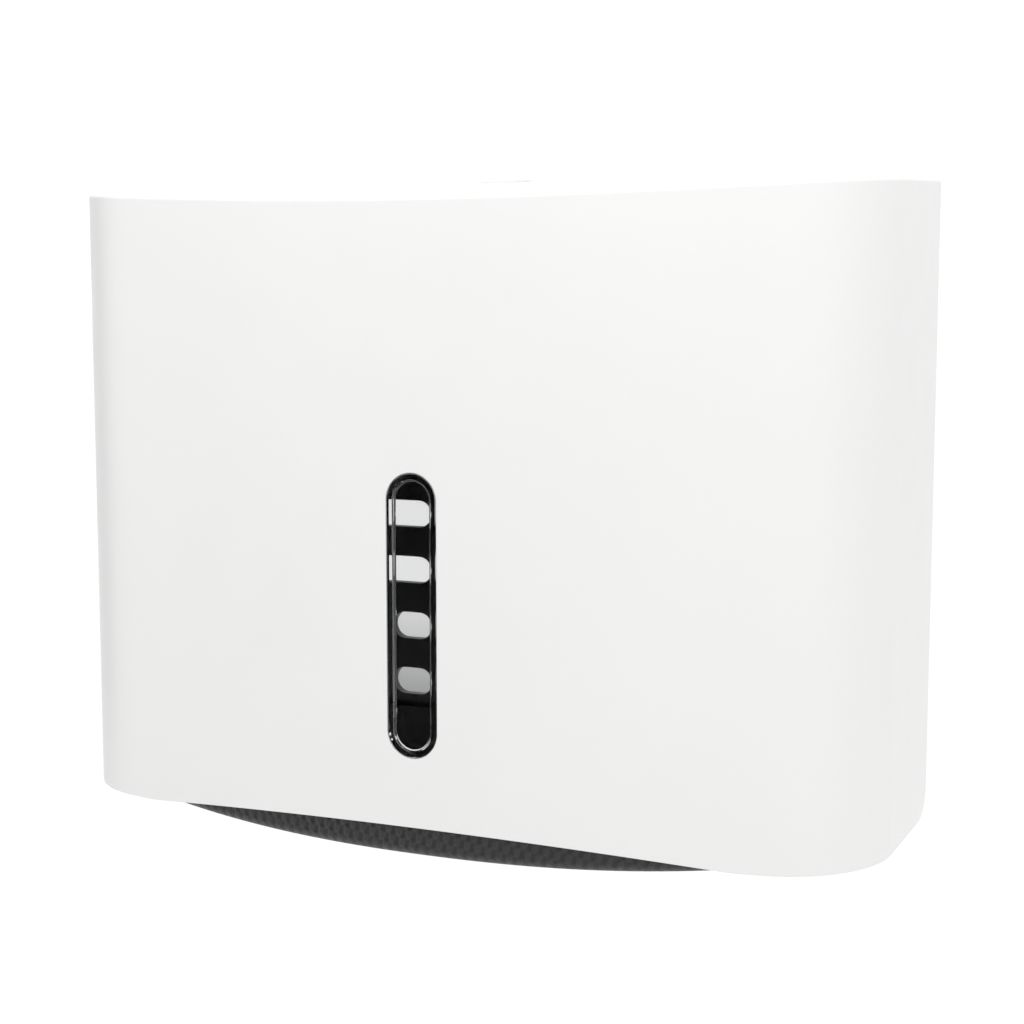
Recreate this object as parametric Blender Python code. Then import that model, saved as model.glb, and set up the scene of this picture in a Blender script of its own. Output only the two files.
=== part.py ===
"""Wall dispenser for folded paper towels, shown empty.

A dark back plate is screwed to the wall and carries a bottom tray with the towel outlet. A white
cover with a clear level window swings forward and down on two pins at its lower rear corners, and
a key lock in its top turns a cam behind a steel strike on the plate.

Metres, +Z up, +Y into the wall, +X to the right. Heights below are counted from the cover's lower
edge, and the dispenser empty moves that level down, so that the world origin is the middle of the
face that lies on the wall.
"""

import math

import bmesh
import bpy
from mathutils import Matrix, Vector

MM = 0.001

# Frame: height of the world origin above the cover's lower edge
ORIGIN_HEIGHT = 99 * MM

# Gap kept between neighbours that rest on each other, the overlap that a union or a cut needs,
# and the hair's breadth that keeps two faces of a union out of one plane
FIT_GAP = 0.3 * MM
OVERSHOOT = 1 * MM
HAIR = FIT_GAP / 10

# Cover shell
COVER_WIDTH = 270 * MM
COVER_DEPTH = 92 * MM
COVER_HEIGHT = 198 * MM
COVER_WALL = 2.5 * MM
CORNER_RADIUS = 35 * MM
FRONT_RADIUS = 625 * MM
COVER_TO_WALL = 0.5 * MM
TOP_FALL = 0.036
CROWN_REAR = 3.5 * MM
CROWN_FRONT = -3.2 * MM
ARCH_RISE = 4 * MM
ARCH_HALF_WIDTH = 97 * MM
CORNER_STEPS = 8
FRONT_STEPS = 12
DEPTH_STEPS = 4

# Level window, a pill-shaped hole in the cover's front
WINDOW_HALF_WIDTH = 8.3 * MM
WINDOW_HALF_HEIGHT = 43 * MM
WINDOW_HEIGHT = 68.2 * MM
LENS_FLANGE = 6 * MM
LENS_FLANGE_THICKNESS = 1.3 * MM
LENS_FLANGE_FOOT = 4 * MM
LENS_FLANGE_CORNER = 8.6 * MM
LENS_RECESS = 1 * MM
LENS_RIM = 2.1 * MM
STAKE_X = 11.3 * MM
STAKE_SPACING = 30 * MM
STAKE_RADIUS = 1.3 * MM
STAKE_HEAD_RADIUS = 2.2 * MM
STAKE_HEAD = 1 * MM

# Cover hinge: one axis through the lower rear corners
HINGE_Y = -10.5 * MM
HINGE_HEIGHT = 10 * MM
REAR_CORNER_RADIUS = 10 * MM
PIN_RADIUS = 2 * MM
PIN_HEAD_RADIUS = 3.6 * MM
PIN_HEAD = 1.8 * MM
LUG_RADIUS = 6.3 * MM
LUG_INNER = 125 * MM
LUG_OUTER = 129.4 * MM
WASHER_RADIUS = 5 * MM
BOSS_RADIUS = 5.5 * MM
BOSS_INNER = 131 * MM
BOSS_BORE_END = 133.6 * MM

# Back plate
PLATE_HALF_WIDTH = 131 * MM
PLATE_THICKNESS = 3.5 * MM
PLATE_BOTTOM = 1 * MM
PLATE_TOP = 193 * MM
PLATE_CORNER = 12 * MM
RIB_DEPTH = 8 * MM
RIB_THICKNESS = 2 * MM
RIB_INSET = 2.5 * MM
RIB_BOTTOM = 24 * MM
SLOT_INNER_X = 36.4 * MM
SLOT_HALF_HEIGHT = 4.6 * MM
LONG_SLOT = 40 * MM
SHORT_SLOT = 14.8 * MM
SLOT_ROWS = (
    (28.6 * MM, SHORT_SLOT),
    (48.2 * MM, SHORT_SLOT),
    (67.8 * MM, LONG_SLOT),
    (87.4 * MM, LONG_SLOT),
)
WALL_HOLE_X = 105 * MM
WALL_HOLE_HEIGHTS = (42 * MM, 162 * MM)
WALL_HOLE_RADIUS = 2.75 * MM
WALL_HOLE_SINK_RADIUS = 5.2 * MM
WALL_HOLE_SINK = 1.4 * MM

# Bottom tray: its front runs parallel to the cover's, and its sides are drawn up in a belly
TRAY_FRONT = 86.5 * MM
TRAY_HALF_WIDTH = 121.5 * MM
TRAY_FRONT_RADIUS = 619.5 * MM
TRAY_CORNER_RADIUS = 25 * MM
TRAY_BOTTOM = -6.6 * MM
BELLY_RISE = 9.6 * MM
BELLY_POWER = 2.4
TRAY_TOP = 14 * MM
TRAY_BACK_TOP = 20 * MM
TRAY_WALL = 2 * MM
TRAY_EDGE_RADIUS = 3 * MM
TRAY_EDGE_STEPS = 4
OUTLET_HALF_LENGTH = 88 * MM
OUTLET_HALF_DEPTH = 21 * MM
OUTLET_Y = -42 * MM
OUTLET_RIM = 2 * MM
OUTLET_RIM_HEIGHT = 2.2 * MM
OUTLET_END_STEPS = 6
OUTLET_SIDE_STEPS = 8
TRAY_SCREW_X = (-105 * MM, -30 * MM, 30 * MM, 105 * MM)
TRAY_SCREW_HEIGHT = 13 * MM

# Small pan-head screws of the tray and the strike
SCREW_RADIUS = 1.3 * MM
SCREW_HEAD_RADIUS = 3 * MM
SCREW_CROWN_RADIUS = 2.1 * MM
SCREW_HEAD = 1.9 * MM
SCREW_HOLE_RADIUS = 1.6 * MM
SCREW_DRIVE = 3.4 * MM
SCREW_DRIVE_WIDTH = 0.85 * MM
SCREW_DRIVE_DEPTH = 1 * MM

# Lock, upright in the cover's top
LOCK_Y = -26 * MM
LOCK_FACE = 197.2 * MM
LOCK_FLANGE_RADIUS = 9.2 * MM
LOCK_FLANGE = 1 * MM
LOCK_SEAT_RADIUS = 9.6 * MM
LOCK_BOSS_RADIUS = 11 * MM
LOCK_BOSS_BOTTOM = 189 * MM
HOUSING_RADIUS = 6.3 * MM
HOUSING_BOTTOM = 177 * MM
HOUSING_BORE = 4.7 * MM
BARREL_RADIUS = 4.4 * MM
BARREL_HEAD_RADIUS = 5.5 * MM
BARREL_HEAD = 1.2 * MM
BARREL_TANG = 5.6 * MM
KEYWAY_LENGTH = 5.6 * MM
KEYWAY_WIDTH = 1.8 * MM
KEYWAY_DEPTH = 9 * MM
NUT_RADIUS = 9 * MM
NUT_THICKNESS = 3.5 * MM
CAM_TOP = 176 * MM
CAM_THICKNESS = 2 * MM
CAM_HALF_WIDTH = 4 * MM
CAM_REACH = 18 * MM
CAM_HUB_RADIUS = 6 * MM
CAM_CORNER = 1.5 * MM
CAM_SCREW_HEAD_RADIUS = 4.5 * MM
CAM_SCREW_SLOT_LENGTH = 7.5 * MM
CAM_SCREW_SLOT_WIDTH = 1 * MM

# Steel strike that the cam turns behind
STRIKE_THICKNESS = 1.5 * MM
STRIKE_X = (5 * MM, 25 * MM)
STRIKE_ARM_X = (9.5 * MM, 20.5 * MM)
STRIKE_FOOT_BOTTOM = 150 * MM
STRIKE_SHELF = 167.5 * MM
STRIKE_LIP_TOP = 178 * MM
STRIKE_LIP_GAP = 1.6 * MM
STRIKE_CORNER = 2 * MM
STRIKE_SCREW_X = (10 * MM, 20 * MM)
STRIKE_SCREW_HEIGHT = 157 * MM

FINE_SEGMENTS = 24
SMALL_SEGMENTS = 16


# Scene and object helpers


def clear_scene():
    for existing in list(bpy.data.objects):
        bpy.data.objects.remove(existing, do_unlink=True)


def plastic(name, colour, roughness):
    return shader(name, colour, roughness, metallic=0.0)


def shader(name, colour, roughness, metallic, transmission=0.0):
    """A Principled BSDF material."""
    material = bpy.data.materials.new(name)
    material.use_nodes = True
    principled = material.node_tree.nodes["Principled BSDF"]
    principled.inputs["Base Color"].default_value = (*colour, 1.0)
    principled.inputs["Roughness"].default_value = roughness
    principled.inputs["Metallic"].default_value = metallic
    principled.inputs["Transmission Weight"].default_value = transmission
    return material


def add_empty(name, location, parent=None):
    empty = bpy.data.objects.new(name, None)
    bpy.context.scene.collection.objects.link(empty)
    empty.parent = parent
    empty.location = location
    return empty


def add_object(name, bm, group, material=None):
    """Puts a bmesh drawn in the dispenser's own coordinates under its group's empty."""
    bmesh.ops.recalc_face_normals(bm, faces=bm.faces)
    mesh = bpy.data.meshes.new(name)
    bm.to_mesh(mesh)
    bm.free()
    placed = bpy.data.objects.new(name, mesh)
    bpy.context.scene.collection.objects.link(placed)
    placed.parent = group
    if group.parent is not None:
        placed.location = -group.location
    if material is not None:
        mesh.materials.append(material)
        mesh.shade_smooth()
        mesh.set_sharp_from_angle(angle=math.radians(30))
    return placed


def add_boolean(target, bm, operation, label):
    """Cuts a bmesh from the target, or joins it on, with a hidden helper object."""
    helper = add_object(f"{target.name}_{label}", bm, target.parent)
    helper.hide_render = True
    helper.display_type = "WIRE"
    modifier = target.modifiers.new(label, "BOOLEAN")
    modifier.operation = operation
    modifier.object = helper


# Solid builders: each one adds a closed shape to a bmesh


def add_prism(bm, outline, axis, start, end):
    """A flat outline pushed along an axis. The outline's two values are the other two axes."""
    index = "XYZ".index(axis)

    def point(pair, level):
        values = list(pair)
        values.insert(index, level)
        return bm.verts.new(values)

    first = [point(pair, start) for pair in outline]
    last = [point(pair, end) for pair in outline]
    bm.faces.new(first)
    bm.faces.new(last)
    for here in range(len(outline)):
        there = (here + 1) % len(outline)
        bm.faces.new((first[here], first[there], last[there], last[here]))


def add_box(bm, x_range, y_range, z_range):
    outline = [(x_range[i], y_range[j]) for i, j in ((0, 0), (1, 0), (1, 1), (0, 1))]
    add_prism(bm, outline, "Z", *z_range)


def add_cylinder(bm, axis, centre, radius, start, end, segments=FINE_SEGMENTS):
    """A round bar along an axis. The centre's two values are the other two axes."""
    steps = [2 * math.pi * step / segments for step in range(segments)]
    outline = [(centre[0] + radius * math.cos(a), centre[1] + radius * math.sin(a)) for a in steps]
    add_prism(bm, outline, axis, start, end)


def arc(centre, radius, start, end, steps):
    """Points along an arc, both ends included, with angles in radians."""
    angles = [start + (end - start) * step / steps for step in range(steps + 1)]
    return [(centre[0] + radius * math.cos(a), centre[1] + radius * math.sin(a)) for a in angles]


def pill(centre, half_width, half_height, steps=10):
    """A rectangle with two round ends, along whichever side is longer."""
    radius = min(half_width, half_height)
    straight_x = half_width - radius
    straight_y = half_height - radius
    turn = math.pi / 2
    upright = half_height > half_width
    first_angle = 0.0 if upright else -turn
    points = []
    for side in (1, -1):
        middle = (centre[0] + side * straight_x, centre[1] + side * straight_y)
        start = first_angle + (0 if side == 1 else math.pi)
        points += arc(middle, radius, start, start + math.pi, steps)
    return points


def rounded_rectangle(x_range, y_range, radius, steps=6):
    (x0, x1), (y0, y1) = x_range, y_range
    quarter = math.pi / 2
    corners = (
        (x1 - radius, y1 - radius),
        (x0 + radius, y1 - radius),
        (x0 + radius, y0 + radius),
        (x1 - radius, y0 + radius),
    )
    points = []
    for turn, corner in enumerate(corners):
        points += arc(corner, radius, turn * quarter, (turn + 1) * quarter, steps)
    return points


# Cover


def top_height(x, y):
    """Height of the cover's top: it falls to the front, is crowned at the wall and dips in front."""
    depth = -y
    crown = CROWN_REAR + (CROWN_FRONT - CROWN_REAR) * depth / COVER_DEPTH
    return COVER_HEIGHT - TOP_FALL * depth + crown * (1 - (2 * x / COVER_WIDTH) ** 2)


def bottom_height(x):
    """Height of the cover's lower edge, arched in the middle of the front."""
    if abs(x) >= ARCH_HALF_WIDTH:
        return 0.0
    return ARCH_RISE * (1 - (x / ARCH_HALF_WIDTH) ** 2)


def front_plan(half_width, depth, front_radius, corner_radius, inset):
    """The front half of a plan from left to right: a curved front with round corners, moved in."""
    side = half_width - corner_radius
    front_centre = (0.0, front_radius - depth)
    reach = front_radius - corner_radius
    corner_y = front_centre[1] - math.sqrt(reach**2 - side**2)
    turn = math.atan2(corner_y - front_centre[1], side)
    left_turn = -math.pi - turn
    radius = corner_radius - inset
    left = arc((-side, corner_y), radius, -math.pi, left_turn, CORNER_STEPS)
    front = arc(front_centre, front_radius - inset, left_turn, turn, FRONT_STEPS)
    right = arc((side, corner_y), radius, turn, 0.0, CORNER_STEPS)
    return left + front[1:-1] + right


def cover_front(inset):
    return front_plan(COVER_WIDTH / 2, COVER_DEPTH, FRONT_RADIUS, CORNER_RADIUS, inset)


def add_cover_block(bm, inset, rear_y, lower, upper):
    """A solid under the cover's top, from two height functions of x and y."""
    columns = []
    for x, front_y in cover_front(inset):
        rows = [rear_y + (front_y - rear_y) * step / DEPTH_STEPS for step in range(DEPTH_STEPS + 1)]
        bottoms = [bm.verts.new((x, y, lower(x, y))) for y in rows]
        tops = [bm.verts.new((x, y, upper(x, y))) for y in rows]
        columns.append((bottoms, tops))
    for (left_low, left_high), (right_low, right_high) in zip(columns, columns[1:]):
        for row in range(DEPTH_STEPS):
            bm.faces.new((left_low[row], left_low[row + 1], right_low[row + 1], right_low[row]))
            bm.faces.new((left_high[row], right_high[row], right_high[row + 1], left_high[row + 1]))
        for row in (0, DEPTH_STEPS):
            bm.faces.new((left_low[row], right_low[row], right_high[row], left_high[row]))
    for low, high in (columns[0], columns[-1]):
        for row in range(DEPTH_STEPS):
            bm.faces.new((low[row], high[row], high[row + 1], low[row + 1]))


def rear_corner_waste():
    """What is cut from the lower rear corners, so that they clear the wall as the cover turns."""
    centre = (HINGE_Y, HINGE_HEIGHT)
    quarter = arc(centre, REAR_CORNER_RADIUS, -math.pi / 2, 0.0, 8)
    outside_y = HINGE_Y + REAR_CORNER_RADIUS + OVERSHOOT
    outline = [(HINGE_Y, -OVERSHOOT)] + quarter
    outline += [(outside_y, HINGE_HEIGHT), (outside_y, -OVERSHOOT)]
    bm = bmesh.new()
    half = COVER_WIDTH / 2 + OVERSHOOT
    add_prism(bm, outline, "X", -half, half)
    return bm


def stake_places():
    """The six stakes that hold the lens, as x and height."""
    heights = [WINDOW_HEIGHT + row * STAKE_SPACING for row in (-1, 0, 1)]
    return [(side * STAKE_X, height) for side in (-1, 1) for height in heights]


def lens_flange_front():
    return -COVER_DEPTH + COVER_WALL + 1.5 * FIT_GAP


def lens_flange_rear():
    return lens_flange_front() + LENS_FLANGE_THICKNESS


def build_front_cover(group, material):
    """White shell: front, sides and top in one, open at the back and below."""
    shell = bmesh.new()
    add_cover_block(shell, 0.0, -COVER_TO_WALL, lambda x, y: bottom_height(x), top_height)
    cover = add_object("front_cover", shell, group, material)

    hollow = bmesh.new()
    add_cover_block(
        hollow,
        COVER_WALL,
        OVERSHOOT,
        lambda x, y: -10 * OVERSHOOT,
        lambda x, y: top_height(x, y) - COVER_WALL,
    )
    add_boolean(cover, hollow, "DIFFERENCE", "hollow")
    add_boolean(cover, rear_corner_waste(), "DIFFERENCE", "rear_corners")

    bosses = bmesh.new()
    hinge = (HINGE_Y, HINGE_HEIGHT)
    inside_wall = COVER_WIDTH / 2 - COVER_WALL / 2
    for side in (-1, 1):
        ends = (side * BOSS_INNER, side * inside_wall)
        add_cylinder(bosses, "X", hinge, BOSS_RADIUS, *ends)
    lock_top = top_height(0.0, LOCK_Y) - COVER_WALL / 2
    add_cylinder(bosses, "Z", (0.0, LOCK_Y), LOCK_BOSS_RADIUS, LOCK_BOSS_BOTTOM, lock_top)
    head_front = lens_flange_rear() + FIT_GAP
    for place in stake_places():
        root = -COVER_DEPTH + COVER_WALL / 2
        add_cylinder(bosses, "Y", place, STAKE_RADIUS, root, head_front + OVERSHOOT / 2, SMALL_SEGMENTS)
    add_boolean(cover, bosses, "UNION", "bosses")

    heads = bmesh.new()
    for place in stake_places():
        ends = (head_front, head_front + STAKE_HEAD)
        add_cylinder(heads, "Y", place, STAKE_HEAD_RADIUS, *ends, SMALL_SEGMENTS)
    add_boolean(cover, heads, "UNION", "stake_heads")

    holes = bmesh.new()
    window = pill((0.0, WINDOW_HEIGHT), WINDOW_HALF_WIDTH, WINDOW_HALF_HEIGHT)
    add_prism(holes, window, "Y", -COVER_DEPTH - OVERSHOOT, -COVER_DEPTH + COVER_WALL + OVERSHOOT)
    for side in (-1, 1):
        ends = (side * (BOSS_INNER - OVERSHOOT), side * BOSS_BORE_END)
        add_cylinder(holes, "X", hinge, PIN_RADIUS + FIT_GAP, *ends)
    add_boolean(cover, holes, "DIFFERENCE", "holes")

    seat = bmesh.new()
    floor = LOCK_FACE - LOCK_FLANGE - FIT_GAP
    add_cylinder(seat, "Z", (0.0, LOCK_Y), LOCK_SEAT_RADIUS, floor, LOCK_FACE + 5 * OVERSHOOT)
    add_boolean(cover, seat, "DIFFERENCE", "lock_seat")
    shaft = bmesh.new()
    reach = (LOCK_BOSS_BOTTOM - OVERSHOOT, LOCK_FACE)
    add_cylinder(shaft, "Z", (0.0, LOCK_Y), HOUSING_RADIUS + FIT_GAP, *reach)
    add_boolean(cover, shaft, "DIFFERENCE", "lock_hole")
    return cover


def build_window_lens(group, material):
    """Clear pill that fills the window, dished in front, with a flange behind the cover."""
    centre = (0.0, WINDOW_HEIGHT)
    plug = (WINDOW_HALF_WIDTH - FIT_GAP, WINDOW_HALF_HEIGHT - FIT_GAP)
    front = -COVER_DEPTH + FIT_GAP

    bm = bmesh.new()
    add_prism(bm, pill(centre, *plug), "Y", front, lens_flange_rear())
    lens = add_object("window_lens", bm, group, material)

    flange = bmesh.new()
    wide = WINDOW_HALF_WIDTH + LENS_FLANGE
    tall = WINDOW_HALF_HEIGHT + LENS_FLANGE_FOOT
    x_range = (-wide, wide)
    z_range = (WINDOW_HEIGHT - tall, WINDOW_HEIGHT + tall)
    outline = rounded_rectangle(x_range, z_range, LENS_FLANGE_CORNER)
    add_prism(flange, outline, "Y", lens_flange_front(), lens_flange_rear() - HAIR)
    add_boolean(lens, flange, "UNION", "flange")

    cuts = bmesh.new()
    dish = pill(centre, plug[0] - LENS_RIM, plug[1] - LENS_RIM)
    add_prism(cuts, dish, "Y", front - OVERSHOOT, front + LENS_RECESS)
    for place in stake_places():
        ends = (lens_flange_front() - OVERSHOOT, lens_flange_rear() + OVERSHOOT)
        add_cylinder(cuts, "Y", place, STAKE_RADIUS + FIT_GAP, *ends, SMALL_SEGMENTS)
    add_boolean(lens, cuts, "DIFFERENCE", "cuts")
    return lens


# Back plate


def slot_places():
    """The plate's slots on both halves, as centre x, height and half length."""
    places = []
    for height, length in SLOT_ROWS:
        centre_x = SLOT_INNER_X + length / 2
        places += [(side * centre_x, height, length / 2) for side in (-1, 1)]
    return places


def rib_outline():
    """An upside-down U along the plate's sides and top, as x and height."""
    outer = PLATE_HALF_WIDTH - RIB_INSET
    inner = outer - RIB_THICKNESS
    top = PLATE_TOP - RIB_INSET
    under = top - RIB_THICKNESS
    return [
        (-outer, RIB_BOTTOM),
        (-outer, top),
        (outer, top),
        (outer, RIB_BOTTOM),
        (inner, RIB_BOTTOM),
        (inner, under),
        (-inner, under),
        (-inner, RIB_BOTTOM),
    ]


def lug_outline():
    """A hinge lug seen from the side, rooted in the plate."""
    centre = (HINGE_Y, HINGE_HEIGHT)
    nose = arc(centre, LUG_RADIUS, -math.pi / 2, -3 * math.pi / 2, 12)
    root = -PLATE_THICKNESS + OVERSHOOT
    return [(root, HINGE_HEIGHT - LUG_RADIUS)] + nose + [(root, HINGE_HEIGHT + LUG_RADIUS)]


def build_back_plate(group, material):
    """Dark moulding on the wall, with a stiffening rib, slots, hinge lugs and screw holes."""
    bm = bmesh.new()
    x_range = (-PLATE_HALF_WIDTH, PLATE_HALF_WIDTH)
    outline = rounded_rectangle(x_range, (PLATE_BOTTOM, PLATE_TOP), PLATE_CORNER)
    add_prism(bm, outline, "Y", -PLATE_THICKNESS, 0.0)
    plate = add_object("back_plate", bm, group, material)

    rib = bmesh.new()
    root = -PLATE_THICKNESS + OVERSHOOT
    add_prism(rib, rib_outline(), "Y", -PLATE_THICKNESS - RIB_DEPTH, root)
    for side in (-1, 1):
        add_prism(rib, lug_outline(), "X", side * LUG_INNER, side * LUG_OUTER)
    add_boolean(plate, rib, "UNION", "rib_and_lugs")

    holes = bmesh.new()
    through = (-PLATE_THICKNESS - OVERSHOOT, OVERSHOOT)
    for x, height, half_length in slot_places():
        add_prism(holes, pill((x, height), half_length, SLOT_HALF_HEIGHT), "Y", *through)
    for x in TRAY_SCREW_X:
        place = (x, TRAY_SCREW_HEIGHT)
        add_cylinder(holes, "Y", place, SCREW_HOLE_RADIUS, *through, SMALL_SEGMENTS)
    for x in STRIKE_SCREW_X:
        place = (x, STRIKE_SCREW_HEIGHT)
        add_cylinder(holes, "Y", place, SCREW_HOLE_RADIUS, *through, SMALL_SEGMENTS)
    for side in (-1, 1):
        ends = (side * (LUG_INNER - OVERSHOOT), side * (LUG_OUTER + OVERSHOOT))
        add_cylinder(holes, "X", (HINGE_Y, HINGE_HEIGHT), PIN_RADIUS + FIT_GAP, *ends)
        for height in WALL_HOLE_HEIGHTS:
            add_cylinder(holes, "Y", (side * WALL_HOLE_X, height), WALL_HOLE_RADIUS, *through)
    add_boolean(plate, holes, "DIFFERENCE", "holes")

    sinks = bmesh.new()
    sink = (-PLATE_THICKNESS - OVERSHOOT, -PLATE_THICKNESS + WALL_HOLE_SINK)
    for side in (-1, 1):
        for height in WALL_HOLE_HEIGHTS:
            add_cylinder(sinks, "Y", (side * WALL_HOLE_X, height), WALL_HOLE_SINK_RADIUS, *sink)
    add_boolean(plate, sinks, "DIFFERENCE", "sinks")
    return plate


# Bottom tray


def tray_rear():
    return -PLATE_THICKNESS - FIT_GAP


def tray_front(inset):
    return front_plan(TRAY_HALF_WIDTH, TRAY_FRONT, TRAY_FRONT_RADIUS, TRAY_CORNER_RADIUS, inset)


def belly(x):
    """Height of the tray's underside: lowest in the middle, higher at the sides."""
    return TRAY_BOTTOM + BELLY_RISE * (abs(x) / TRAY_HALF_WIDTH) ** BELLY_POWER


def tray_floor(x):
    return belly(x) + TRAY_WALL


def outlet_columns(wider):
    """The outlet's pill from left to right, as x with the front and rear y, made wider all round."""
    radius = OUTLET_HALF_DEPTH + wider
    straight = OUTLET_HALF_LENGTH - OUTLET_HALF_DEPTH
    quarter = math.pi / 2
    turns = [quarter * (step + 0.5) / OUTLET_END_STEPS for step in range(OUTLET_END_STEPS)]
    end = [(straight + radius * math.cos(a), radius * math.sin(a)) for a in turns]
    sides = range(OUTLET_SIDE_STEPS + 1)
    middle = [(straight * (2 * step / OUTLET_SIDE_STEPS - 1), radius) for step in sides]
    halves = [(-x, half) for x, half in end] + middle + end[::-1]
    return [(x, OUTLET_Y - half, OUTLET_Y + half) for x, half in halves]


def add_columns(bm, columns, lower, upper):
    """A solid from columns of x, front y and rear y, between two height functions of x."""
    loops = []
    for x, front, rear in columns:
        low, high = lower(x), upper(x)
        corners = ((x, front, low), (x, rear, low), (x, rear, high), (x, front, high))
        loops.append([bm.verts.new(corner) for corner in corners])
    for left, right in zip(loops, loops[1:]):
        for here in range(4):
            there = (here + 1) % 4
            bm.faces.new((left[here], left[there], right[there], right[here]))
    bm.faces.new(loops[0])
    bm.faces.new(loops[-1])


def add_tray_body(bm):
    """The tray's outer form, with its lower front and side edge rounded."""
    rings = []

    def add_ring(inset, height):
        outline = tray_front(inset)
        front = [bm.verts.new((x, y, height(x))) for x, y in outline]
        rear = [bm.verts.new((x, tray_rear(), height(x))) for x, _ in outline]
        rings.append((front, rear))

    for step in range(TRAY_EDGE_STEPS + 1):
        angle = math.pi / 2 * step / TRAY_EDGE_STEPS
        rise = TRAY_EDGE_RADIUS * (1 - math.cos(angle))
        add_ring(TRAY_EDGE_RADIUS * (1 - math.sin(angle)), lambda x: belly(x) + rise)
    add_ring(0.0, lambda x: TRAY_TOP)

    for front, rear in (rings[0], rings[-1]):
        for here in range(len(front) - 1):
            there = here + 1
            bm.faces.new((front[here], front[there], rear[there], rear[here]))
    for (low_front, low_rear), (high_front, high_rear) in zip(rings, rings[1:]):
        low = low_front + low_rear[::-1]
        high = high_front + high_rear[::-1]
        for here in range(len(low)):
            there = (here + 1) % len(low)
            bm.faces.new((low[here], low[there], high[there], high[here]))


def build_bottom_tray(group, material):
    """Dark bowl below the towels, with the outlet in its floor and a screwed flange at the back."""
    bm = bmesh.new()
    add_tray_body(bm)
    tray = add_object("bottom_tray", bm, group, material)

    flange = bmesh.new()
    half = TRAY_HALF_WIDTH - TRAY_WALL
    y_range = (tray_rear() - TRAY_WALL, tray_rear() - HAIR)
    add_box(flange, (-half, half), y_range, (TRAY_TOP - OVERSHOOT, TRAY_BACK_TOP))
    add_boolean(tray, flange, "UNION", "flange")

    bowl = bmesh.new()
    rear = tray_rear() - TRAY_WALL
    columns = [(x, front, rear) for x, front in tray_front(TRAY_WALL)]
    add_columns(bowl, columns, tray_floor, lambda x: TRAY_BACK_TOP + OVERSHOOT)
    add_boolean(tray, bowl, "DIFFERENCE", "bowl")

    rim = bmesh.new()
    foot = OUTLET_RIM_HEIGHT / 2
    add_columns(
        rim,
        outlet_columns(OUTLET_RIM),
        lambda x: tray_floor(x) - foot,
        lambda x: tray_floor(x) + OUTLET_RIM_HEIGHT,
    )
    add_boolean(tray, rim, "UNION", "outlet_rim")

    holes = bmesh.new()
    below = TRAY_BOTTOM - OVERSHOOT
    add_columns(holes, outlet_columns(0.0), lambda x: below, lambda x: TRAY_TOP)
    through = (tray_rear() - TRAY_WALL - OVERSHOOT, tray_rear() + OVERSHOOT)
    for x in TRAY_SCREW_X:
        place = (x, TRAY_SCREW_HEIGHT)
        add_cylinder(holes, "Y", place, SCREW_HOLE_RADIUS, *through, SMALL_SEGMENTS)
    add_boolean(tray, holes, "DIFFERENCE", "holes")
    return tray


# Fasteners and hinge pieces


def build_screw(name, place, seat_y, group, material):
    """A pan-head screw into the back plate, its head resting on a face at seat_y."""
    bm = bmesh.new()
    under = seat_y - FIT_GAP
    tip = -PLATE_THICKNESS / 4
    add_cylinder(bm, "Y", place, SCREW_RADIUS, under - SCREW_HEAD / 2, tip, SMALL_SEGMENTS)
    screw = add_object(name, bm, group, material)

    head = bmesh.new()
    turned = Matrix.Rotation(math.pi / 2, 4, "X")
    middle = Vector((place[0], under - SCREW_HEAD / 2, place[1]))
    bmesh.ops.create_cone(
        head,
        cap_ends=True,
        segments=SMALL_SEGMENTS,
        radius1=SCREW_HEAD_RADIUS,
        radius2=SCREW_CROWN_RADIUS,
        depth=SCREW_HEAD,
        matrix=Matrix.Translation(middle) @ turned,
    )
    add_boolean(screw, head, "UNION", "head")

    drive = bmesh.new()
    face = under - SCREW_HEAD
    y_range = (face - OVERSHOOT, face + SCREW_DRIVE_DEPTH)
    half_long = SCREW_DRIVE / 2
    half_thin = SCREW_DRIVE_WIDTH / 2
    arms = (
        (half_long, half_thin),
        (half_thin, half_thin),
        (half_thin, half_long),
        (-half_thin, half_long),
        (-half_thin, half_thin),
        (-half_long, half_thin),
        (-half_long, -half_thin),
        (-half_thin, -half_thin),
        (-half_thin, -half_long),
        (half_thin, -half_long),
        (half_thin, -half_thin),
        (half_long, -half_thin),
    )
    outline = [(place[0] + across, place[1] + up) for across, up in arms]
    add_prism(drive, outline, "Y", *y_range)
    add_boolean(screw, drive, "DIFFERENCE", "drive")
    return screw


def build_tray_screws(group, material):
    seat_y = tray_rear() - TRAY_WALL
    for number, x in enumerate(TRAY_SCREW_X, start=1):
        build_screw(f"tray_screw_{number}", (x, TRAY_SCREW_HEIGHT), seat_y, group, material)


def build_strike_screws(group, material):
    seat_y = -PLATE_THICKNESS - FIT_GAP - STRIKE_THICKNESS
    for side, x in zip(("left", "right"), STRIKE_SCREW_X):
        build_screw(f"strike_screw_{side}", (x, STRIKE_SCREW_HEIGHT), seat_y, group, material)


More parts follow.
